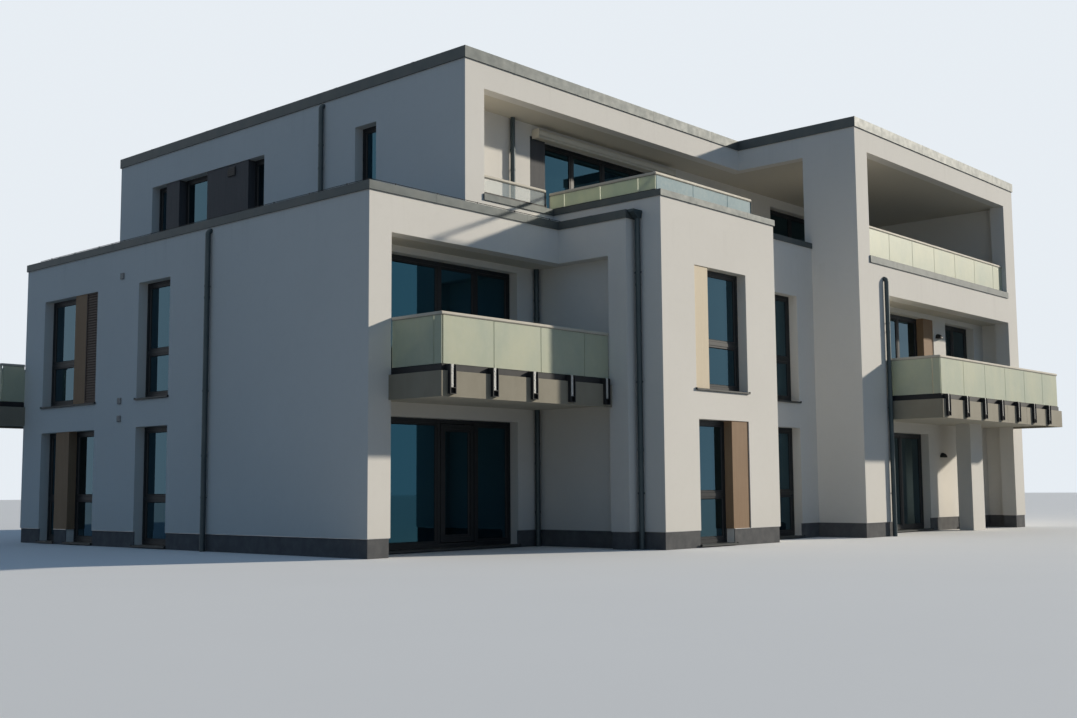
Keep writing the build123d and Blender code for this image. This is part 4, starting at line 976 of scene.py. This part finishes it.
# End posts of the terrace railings
endPost = {"wide": 0.045, "thick": 0.012, "arris": 0.002, "inset": 0.03, "intoRail": 0.002, "shoe": 0.075,
           "shoeOut": 0.01, "shoeWide": 1.4, "shoeArris": 0.006}
standards = bmesh.new()
foot = corner("terrace_coping", 1).z
for low, high in solidsOf("handrails"):
    if low.z < terraceLine or low.x > corner("bay_right_wall", 1).x:
        continue
    middle, inset = (low + high) / 2, endPost["inset"]
    if high.x < upstandEdge:
        spots = [(low.x, middle.y, east), (high.x, middle.y, -east)]
    else:
        spots = [(low.x + inset, high.y, -north), (high.x, low.y + inset, -east)]
    for x, y, along in spots:
        near, far = vec(x, y, foot), vec(x, y, low.z + endPost["intoRail"]) + along * endPost["thick"]
        side = vec(abs(along.y), abs(along.x), 0) * (endPost["wide"] / 2)
        addBox(standards, near - side, far + side, endPost["arris"])
        spread = side * endPost["shoeWide"] + along * endPost["shoeOut"]
        far.z = foot + endPost["shoe"]
        addBox(standards, near - spread, far + spread, endPost["shoeArris"])
addPiece("railEndPosts", standards, "bracket")
print("railings made")


# Balcony fascias: a folded cap on top, a drip below and joint strips between the sheets

fascia = {"sheet": 0.030, "cap": 0.003, "drip": 0.012, "thick": 0.003, "joint": 0.004, "proud": 0.0015,
          "into": 0.001, "pitch": 1.24}


def fasciaFaces():
    # start, end and way out of every upright face of the three fascias
    faces = []
    for low, high in solidsOf("balcony_fascia"):
        frontLeft, frontRight = vec(low.x, low.y, 0), vec(high.x, low.y, 0)
        rearLeft, rearRight = vec(low.x, high.y, 0), vec(high.x, high.y, 0)
        faces.append((frontLeft, rearLeft, -east))
        if high.y < 0:
            faces.append((frontLeft, frontRight, -north))
            if low.x > 0:
                faces.append((frontRight, rearRight, east))
        else:
            faces.append((rearLeft, rearRight, north))
            faces.append((vec(high.x, corner("rear_wall", 1).y, 0), rearRight, east))
            faces.append((frontLeft, vec(corner("left_wall", 0).x, low.y, 0), -north))
    return faces


fasciaLow, fasciaHigh = corner("balcony_fascia", 0).z, corner("balcony_fascia", 1).z
folds, jointSpots = bmesh.new(), []
for start, end, out in fasciaFaces():
    for foot, head, deep in ((fasciaHigh, fasciaHigh + fascia["cap"], fascia["sheet"]),
                             (fasciaLow - fascia["drip"], fasciaLow, fascia["thick"])):
        far = end - out * deep
        addBox(folds, (start.x, start.y, foot), (far.x, far.y, head))
    if out.y:
        for place in evenly(start, end, int((end - start).length / fascia["pitch"]) + 2)[1:-1]:
            place.z = (fasciaLow + fasciaHigh) / 2
            jointSpots.append((place, 0 if out.y < 0 else 180))
addPiece("fasciaFolds", folds, "fascia")
jointStrip = bmesh.new()
wide, tall = fascia["joint"] / 2, (fasciaHigh - fasciaLow) / 2
addBox(jointStrip, (-wide, -fascia["proud"], -tall), (wide, fascia["into"], tall))
repeatShape("fasciaJoints", shapeObject("jointShape", jointStrip), jointSpots, "rubber")


# Copings: rounded folds, seam straps across the sheets and the conductor wire on its clips

cope = {"arris": 0.004, "shrink": 0.002, "pitch": 2.3, "strap": 0.07, "proud": 0.0015, "over": 0.030,
        "lintel": 0.300, "wall": 0.365, "upstand": 0.200, "band": 0.250, "behindBay": 1.2, "beforeWing": 0.1}
for node, name in (("main_coping", "mainCoping"), ("terrace_coping", "terraceCoping"),
                   ("right_wing_coping", "wingCoping"), ("penthouse_coping", "penthouseCoping")):
    softened(node, name, cope["arris"], "zinc", shrink=cope["shrink"])


def copingRuns():
    # from x and y to x and y, and the width, of each straight run of a coping
    (left, leftEnd), (side, sideEnd) = corners("left_wall"), corners("loggia_side_frame")
    (bay, bayEnd), (upstand, upstandEnd) = corners("bay_left_wall"), corners("terrace_upstand")
    (pent, pentEnd), (wing, wingEnd) = corners("penthouse_left_wall"), corners("right_wing_band")
    bayRight, recess = corner("bay_right_wall", 1).x, corner("recess_wall", 0).y
    wingX, rearX, far = (corner("right_wing_left_wall", 0).x, corner("rear_corner_wall", 0).x,
                         corner("right_end_wall", 1))
    w, b = cope["wall"], cope["band"]
    return {
        "main_coping": [
            (left.x, left.y + w, left.x, leftEnd.y - w, w),
            (left.x + w, left.y, sideEnd.x, left.y, cope["lintel"]),
            (side.x, side.y, side.x, left.y, sideEnd.x - side.x),
            (rearX, leftEnd.y - w, pent.x, leftEnd.y - w, w)],
        "terrace_coping": [
            (bay.x, bay.y + w, bay.x, bayEnd.y - cope["behindBay"], w),
            (bay.x, bay.y, bayRight, bay.y, w),
            (bayRight, recess, wingX, recess, w),
            (upstand.x, upstand.y, upstandEnd.x, upstand.y, cope["upstand"])],
        "right_wing_coping": [(wing.x, wing.y, wingEnd.x, wing.y, w)],
        "penthouse_coping": [
            (pent.x, pent.y + b, pent.x, pentEnd.y - b, b),
            (pent.x + b, pent.y, wingX, pent.y, b),
            (wingX, wing.y + b, wingX, pent.y - cope["beforeWing"], b),
            (wingX + b, wing.y, far.x - b, wing.y, b),
            (pent.x + b, far.y - b, far.x - b, far.y - b, b)],
    }


straps, reach, p = bmesh.new(), cope["over"] - cope["shrink"], cope["proud"]
for node, runs in copingRuns().items():
    top, bottom = corner(node, 1).z - cope["shrink"], corner(node, 0).z + cope["shrink"]
    for x0, y0, x1, y1, width in runs:
        near, far = -reach, width + reach
        profile = [(near - p, bottom), (near - p, top + p), (far + p, top + p), (far + p, bottom),
                   (far, bottom), (far, top), (near, top), (near, bottom)]
        start, end, across = vec(x0, y0, 0), vec(x1, y1, 0), north if y0 == y1 else east
        half = (end - start).normalized() * cope["strap"] / 2
        for place in middles(start, end, max(1, round((end - start).length / cope["pitch"]))):
            sweepLine(straps, place - half, place + half, across, upward, profile)
addPiece("copingStraps", straps, "zinc")

wire = {"radius": 0.006, "lift": 0.032, "inset": 0.035, "clip": 1.0, "turn": 0.08, "cut": 0.3, "back": 0.5,
        "stop": 0.02}
mainTop = corner("main_coping", 1).z
inset, bend = wire["inset"], wire["turn"]
frontLeft = corner("left_wall", 0) + vec(inset, inset, 0)
frontLeft.z = 0
wirePath = [vec(frontLeft.x, corner("left_wall", 1).y - wire["back"], 0), frontLeft + vec(0, bend, 0),
            frontLeft + vec(bend, bend, 0) * wire["cut"], frontLeft + vec(bend, 0, 0),
            vec(corner("bay_left_wall", 0).x - wire["stop"], frontLeft.y, 0)]
wirePath = [point + upward * (mainTop + wire["lift"]) for point in wirePath]
wires, clipSpots = bmesh.new(), []
sweepTube(wires, wirePath, wire["radius"], sides=8)
addPiece("conductorWire", wires, "bracket", smooth=60)
for start, end, turn in ((wirePath[0], wirePath[1], 90), (wirePath[3], wirePath[4], 0)):
    for place in middles(start, end, round((end - start).length / wire["clip"])):
        clipSpots.append((vec(place.x, place.y, mainTop), turn))
wireClip = {"foot": 0.022, "footLow": -0.002, "footHigh": 0.006, "neck": (0.008, 0.010), "neckLow": 0.004,
            "over": 0.010, "arris": 0.002}
clip = bmesh.new()
for (x, y), z0, z1 in (((wireClip["foot"], wireClip["foot"]), wireClip["footLow"], wireClip["footHigh"]),
                       (wireClip["neck"], wireClip["neckLow"], wire["lift"] + wireClip["over"])):
    addBox(clip, (-x, -y, z0), (x, y, z1), wireClip["arris"])
repeatShape("wireClips", shapeObject("clipShape", clip), clipSpots, "bracket")
print("copings seamed and wired:", len(clipSpots), "clips")


# Rainwater hopper: a rim, a sloping funnel and a spigot into the pipe

hopper = {"rim": 0.055, "arris": 0.004, "lip": 0.006, "overlap": 0.002, "spigot": 0.054, "axis": 0.070}
low, high = corners("gutter_hopper")
box = bmesh.new()
rimLow, r, lip = high.z - hopper["rim"], hopper["spigot"], hopper["lip"]
axis, middle = high.x - hopper["axis"], (low + high) / 2
addBox(box, (low.x, low.y, rimLow), high, hopper["arris"])
funnel = []
for left, right, front, back, z in (
        (low.x + lip, high.x - lip, low.y + lip, high.y - lip, rimLow + hopper["overlap"]),
        (axis - r, axis + r, middle.y - r, middle.y + r, low.z)):
    funnel.append([box.verts.new((x, y, z)) for x, y in ((left, front), (right, front), (right, back),
                                                         (left, back))])
skin(box, funnel)
for ring in funnel:
    box.faces.new(ring)
hopperPiece = addPiece("rainHopper", box, "pipe")
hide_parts("gutter_hopper")


# Drip rail along the top of the plinth boards, under the edge of the render

plinthRail = {"high": 0.008, "out": 0.010, "level": 0.9, "within": 0.002}
rail = mergedCopy("plinth")
railTop = corner("plinth", 1).z
away = [face for face in rail.faces if face.normal.z < plinthRail["level"]
        or face.calc_center_median().z < railTop - plinthRail["within"]]
bmesh.ops.delete(rail, geom=away, context="FACES")
made = bmesh.ops.extrude_face_region(rail, geom=rail.faces[:])["geom"]
bmesh.ops.translate(rail, vec=upward * -plinthRail["high"],
                    verts=[item for item in made if isinstance(item, bmesh.types.BMVert)])
turnOutwards(rail)
rail.normal_update()
grow(rail, plinthRail["out"], flat=True)
addPiece("plinthRail", rail, "handle")
print("hopper and plinth rail made")


# Roof: welded laps of the roof sheets

roof = {"pitch": 1.0, "lap": 0.06, "thick": 0.003, "into": 0.001, "arris": 0.001, "inset": 0.26}
slabLow, slabHigh = corners("penthouse_roof_slab")
wingX, pentFront = corner("right_wing_left_wall", 0).x, corner("penthouse_left_wall", 0).y
for name, xLow, xHigh, yLow in (("roofLapsLeft", slabLow.x, wingX, pentFront + roof["inset"]),
                                ("roofLapsRight", wingX + roof["inset"], slabHigh.x, slabLow.y)):
    lap = bmesh.new()
    wide, long = roof["lap"] / 2, (slabHigh.y - yLow) / 2
    addBox(lap, (-wide, -long, -roof["into"]), (wide, long, roof["thick"]), roof["arris"])
    spots = [(vec(x, (yLow + slabHigh.y) / 2, slabHigh.z), 0)
             for x in middles(xLow, xHigh, int((xHigh - xLow) / roof["pitch"]))]
    repeatShape(name, shapeObject("lapShape", lap), spots, "roofing")
print("roof laps laid")


# Flat roof beside the penthouse: a gravel bed between edge strips

gravel = {"thick": 0.030, "strip": 0.006, "stripHigh": 0.040, "gap": 0.12, "over": 0.001, "arris": 0.008}
gap = vec(gravel["gap"], gravel["gap"], 0)
bedLow = corner("left_wall", 0) + vec(cope["wall"], cope["lintel"], 0) + gap
bedHigh = vec(corner("penthouse_left_wall", 0).x, corner("left_wall", 1).y - cope["wall"], 0) - gap
bedLow.z = corner("terrace_slab", 1).z + gravel["over"]
bedHigh.z = bedLow.z - gravel["over"] + gravel["thick"]
bed, edges = bmesh.new(), bmesh.new()
addBox(bed, bedLow, bedHigh, gravel["arris"])
middle, half = (bedLow + bedHigh) / 2, (bedHigh - bedLow) / 2
middle.z = bedLow.z
sweepRing(edges, middle, east, north, upward, half.x, half.y,
          [(0, 0), (0, gravel["stripHigh"]), (-gravel["strip"], gravel["stripHigh"]), (-gravel["strip"], 0)])
addPiece("gravelBed", bed, "gravel")
addPiece("gravelEdges", edges, "handle")
print("gravel bed laid")


# Terrace door: a rounded lever handle on the room side

lever = {"bar": 0.009, "bend": 0.022, "bendSteps": 6, "reach": 0.115, "plate": 0.004, "plateWide": 0.034,
         "plateDeep": 0.010, "into": 0.002, "clear": 0.001}
low, high = corners("terrace_door_handle")
leverBody = bmesh.new()
addBox(leverBody, (high.x - lever["plateWide"], low.y, low.z), (high.x, low.y + lever["plateDeep"], high.z),
       lever["plate"])
foot, bend = lever["plateDeep"] - lever["into"], lever["bend"]
axis = vec(high.x - lever["plateWide"] / 2, low.y + foot, (low.z + high.z) / 2)
depth = high.y - low.y - foot - lever["bar"] - lever["clear"]
path = [axis, axis + vec(0, depth - bend, 0)]
for t in quarter(lever["bendSteps"])[1:]:
    path.append(axis + vec(-bend * (1 - math.cos(t)), depth - bend * (1 - math.sin(t)), 0))
path.append(axis + vec(-lever["reach"], depth, 0))
sweepTube(leverBody, path, lever["bar"], sides=16)
leverPiece = addPiece("doorLever", leverBody, "handle", "terrace_door", smooth=40)
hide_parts("terrace_door_handle")
print("door lever made")


# Terrace paving: slabs on a grid, one Geometry Nodes tree with named sizes

paving = {"pitch": 0.50, "joint": 0.005, "thick": 0.030, "seed": 7, "tilt": (0.003, 0.003, 0.004),
          "lift": 0.001, "margin": 0.03, "fromWall": 0.01, "fromRail": 0.06, "railsBelow": 3.2, "atEdge": 0.2}


def pavingTree():
    tree, sockets, given = newTree("pavingGrid", (
        ("Columns", "Int"), ("Rows", "Int"), ("PitchX", "Float"), ("PitchY", "Float"), ("Joint", "Float"),
        ("Thickness", "Float"), ("Finish", "Material")))
    link = tree.links.new
    grid = tree.nodes.new("GeometryNodeMeshGrid")
    size = tree.nodes.new("ShaderNodeCombineXYZ")
    for axis, count in (("X", "Columns"), ("Y", "Rows")):
        pitch, gaps = given["Pitch" + axis], combined(tree, "SUBTRACT", given[count], 1)
        link(combined(tree, "MULTIPLY", gaps, pitch), grid.inputs["Size " + axis])
        link(given[count], grid.inputs["Vertices " + axis])
        link(combined(tree, "SUBTRACT", pitch, given["Joint"]), size.inputs[axis])
    link(given["Thickness"], size.inputs["Z"])
    cube = tree.nodes.new("GeometryNodeMeshCube")
    link(size.outputs["Vector"], cube.inputs["Size"])
    tilt = tree.nodes.new("FunctionNodeRandomValue")
    tilt.data_type = "FLOAT_VECTOR"
    tilt.inputs["Min"].default_value = [-angle for angle in paving["tilt"]]
    tilt.inputs["Max"].default_value = paving["tilt"]
    tilt.inputs["Seed"].default_value = paving["seed"]
    euler = tree.nodes.new("FunctionNodeEulerToRotation")
    link(tilt.outputs["Value"], euler.inputs["Euler"])
    place = tree.nodes.new("GeometryNodeInstanceOnPoints")
    link(grid.outputs["Mesh"], place.inputs["Points"])
    link(cube.outputs["Mesh"], place.inputs["Instance"])
    link(euler.outputs["Rotation"], place.inputs["Rotation"])
    handOut(tree, place, given["Finish"])
    return tree, sockets


pavingNodes, pavingSockets = pavingTree()


def layPaving(name, low, high, z):
    columns = round((high[0] - low[0]) / paving["pitch"])
    rows = round((high[1] - low[1]) / paving["pitch"])
    made = runTree(name, bpy.data.meshes.new(name + "Holder"), pavingNodes, pavingSockets, {
        "Columns": columns, "Rows": rows, "PitchX": (high[0] - low[0]) / columns,
        "PitchY": (high[1] - low[1]) / rows, "Joint": paving["joint"], "Thickness": paving["thick"],
        "Finish": finishes["paving"]})
    middle = (Vector(low) + Vector(high)) / 2
    made.transform(Matrix.Translation((middle.x, middle.y, z + paving["thick"] / 2)))
    addMesh(name, made, "paving")


def layDecks():
    # the penthouse terraces, and the balcony and loggia floors below them
    lift, margin, gap = paving["lift"], paving["margin"], paving["fromRail"]
    deck = corner("terrace_slab", 1).z + lift
    backWall = corner("penthouse_back_wall", 0).y - paving["fromWall"]
    bayRight, wing = corner("bay_right_wall", 0).x, corner("right_wing_left_wall", 1).x
    layPaving("terracePaving",
              (corner("bay_left_wall", 1).x + margin, corner("bay_front_wall", 1).y + margin),
              (bayRight - margin, backWall), deck)
    layPaving("recessPaving", (bayRight, corner("recess_wall", 1).y + margin),
              (wing - margin, backWall), deck)
    layPaving("wingPaving", (wing + margin, corner("right_wing_band", 1).y + margin),
              (corner("right_end_wall", 0).x - margin, backWall), deck)
    rails = [box for box in solidsOf("railing_clamp_rails") if box[0].z < paving["railsBelow"]]
    for name, node, back in (("loggiaPaving", "balcony_slab", "loggia_back_wall"),
                             ("wingBalconyPaving", "right_balcony_slab", "right_wing_front_piers")):
        low, high = corners(node)
        edge = min((box for box in rails if abs(box[0].y - low.y) < paving["atEdge"]),
                   key=lambda box: abs(box[0].x - low.x))
        outer = (min(edge[1].x, high.x) - gap, corner(back, 0).y - paving["fromWall"])
        layPaving(name, (edge[0].x + gap, edge[0].y + gap), outer, high.z + lift)


layDecks()
print("terrace paving laid")


# Floor, light and camera

photo = {"sensor": 36.0, "lens": 42.74, "reach": 300, "yaw": 48.064, "pitch": 5.754, "roll": -0.411,
         "eye": (-23.5215, -20.465, 1.12)}
light = {"sun": 3.85, "soft": 2.0, "azimuth": 61.7, "rise": 19.5, "warm": (1.0, 0.91, 0.77),
         "fill": (0.33, 0.56, 0.88), "fillStrength": 0.27, "backdrop": (0.80, 0.85, 0.90),
         "floor": (0.27, 0.27, 0.25), "floorSeen": (0.88, 0.885, 0.89), "floorDust": (0.82, 0.825, 0.83),
         "floorReach": 150, "floorUnder": 0.002}


def standCamera():
    camera = bpy.data.cameras.new("photoCamera")
    camera.sensor_width = photo["sensor"]
    camera.lens = photo["lens"]
    camera.clip_end = photo["reach"]
    yaw, pitch, roll = (math.radians(photo[key]) for key in ("yaw", "pitch", "roll"))
    ahead = vec(math.sin(yaw) * math.cos(pitch), math.cos(yaw) * math.cos(pitch), math.sin(pitch))
    right = vec(math.cos(yaw), -math.sin(yaw), 0)
    up = right.cross(ahead)
    right, up = right * math.cos(roll) + up * math.sin(roll), up * math.cos(roll) - right * math.sin(roll)
    stand = newObject("photoCamera", camera)
    turn = Matrix((right, up, -ahead)).transposed().to_4x4()
    stand.matrix_world = Matrix.Translation(photo["eye"]) @ turn
    scene.camera = stand


def standSun():
    sun = bpy.data.lights.new("keySun", "SUN")
    sun.energy = light["sun"]
    sun.angle = math.radians(light["soft"])
    sun.color = light["warm"]
    lamp = newObject("keySun", sun)
    azimuth, rise = math.radians(light["azimuth"]), math.radians(light["rise"])
    toSun = vec(math.sin(azimuth) * math.cos(rise), -math.cos(azimuth) * math.cos(rise), math.sin(rise))
    lamp.rotation_mode = "QUATERNION"
    lamp.rotation_quaternion = toSun.to_track_quat("Z", "Y")


def fillSky():
    # a blue fill that the picture itself doesn't show, behind a pale backdrop that it does
    world = bpy.data.worlds.new("studio")
    world.use_nodes = True
    scene.world = world
    tree = world.node_tree
    fill = tree.nodes["Background"]
    fill.inputs["Color"].default_value = (*light["fill"], 1)
    fill.inputs["Strength"].default_value = light["fillStrength"]
    backdrop = tree.nodes.new("ShaderNodeBackground")
    backdrop.inputs["Color"].default_value = (*light["backdrop"], 1)
    choose = tree.nodes.new("ShaderNodeMixShader")
    tree.links.new(seenRays(tree), choose.inputs["Fac"])
    tree.links.new(fill.outputs["Background"], choose.inputs[1])
    tree.links.new(backdrop.outputs["Background"], choose.inputs[2])
    tree.links.new(choose.outputs["Shader"], tree.nodes["World Output"].inputs["Surface"])


def layFloor():
    reach, z = light["floorReach"], -light["floorUnder"]
    floorMesh = bpy.data.meshes.new("studioFloor")
    floorMesh.from_pydata([(a * reach, b * reach, z) for a, b in ((-1, -1), (1, -1), (1, 1), (-1, 1))],
                          [], [(0, 1, 2, 3)])
    floor = newObject("studioFloor", floorMesh)
    pale = Finish("paleFloor", light["floor"], 0.95)
    pale.blend(seenRays(pale.tree), light["floorSeen"])
    pale.cloud(light["floorDust"], 0.2, (0.3, 0.8), 0.4)
    floorMesh.materials.append(pale.done([(pale.noise(30, 2), 0.03, 0.002)]))
    floor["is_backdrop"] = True


def seenRays(tree):
    # 1 for rays that reach the picture directly, through glass or off a mirror, 0 for the light that fills
    rays = tree.nodes.new("ShaderNodeLightPath")
    seen = rays.outputs["Is Camera Ray"]
    for name in ("Is Glossy Ray", "Is Transmission Ray"):
        seen = combined(tree, "MAXIMUM", seen, rays.outputs[name])
    return seen


standCamera()
standSun()
fillSky()
layFloor()
scene.view_settings.view_transform = "Standard"
print("floor, light and camera set")

low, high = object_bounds()
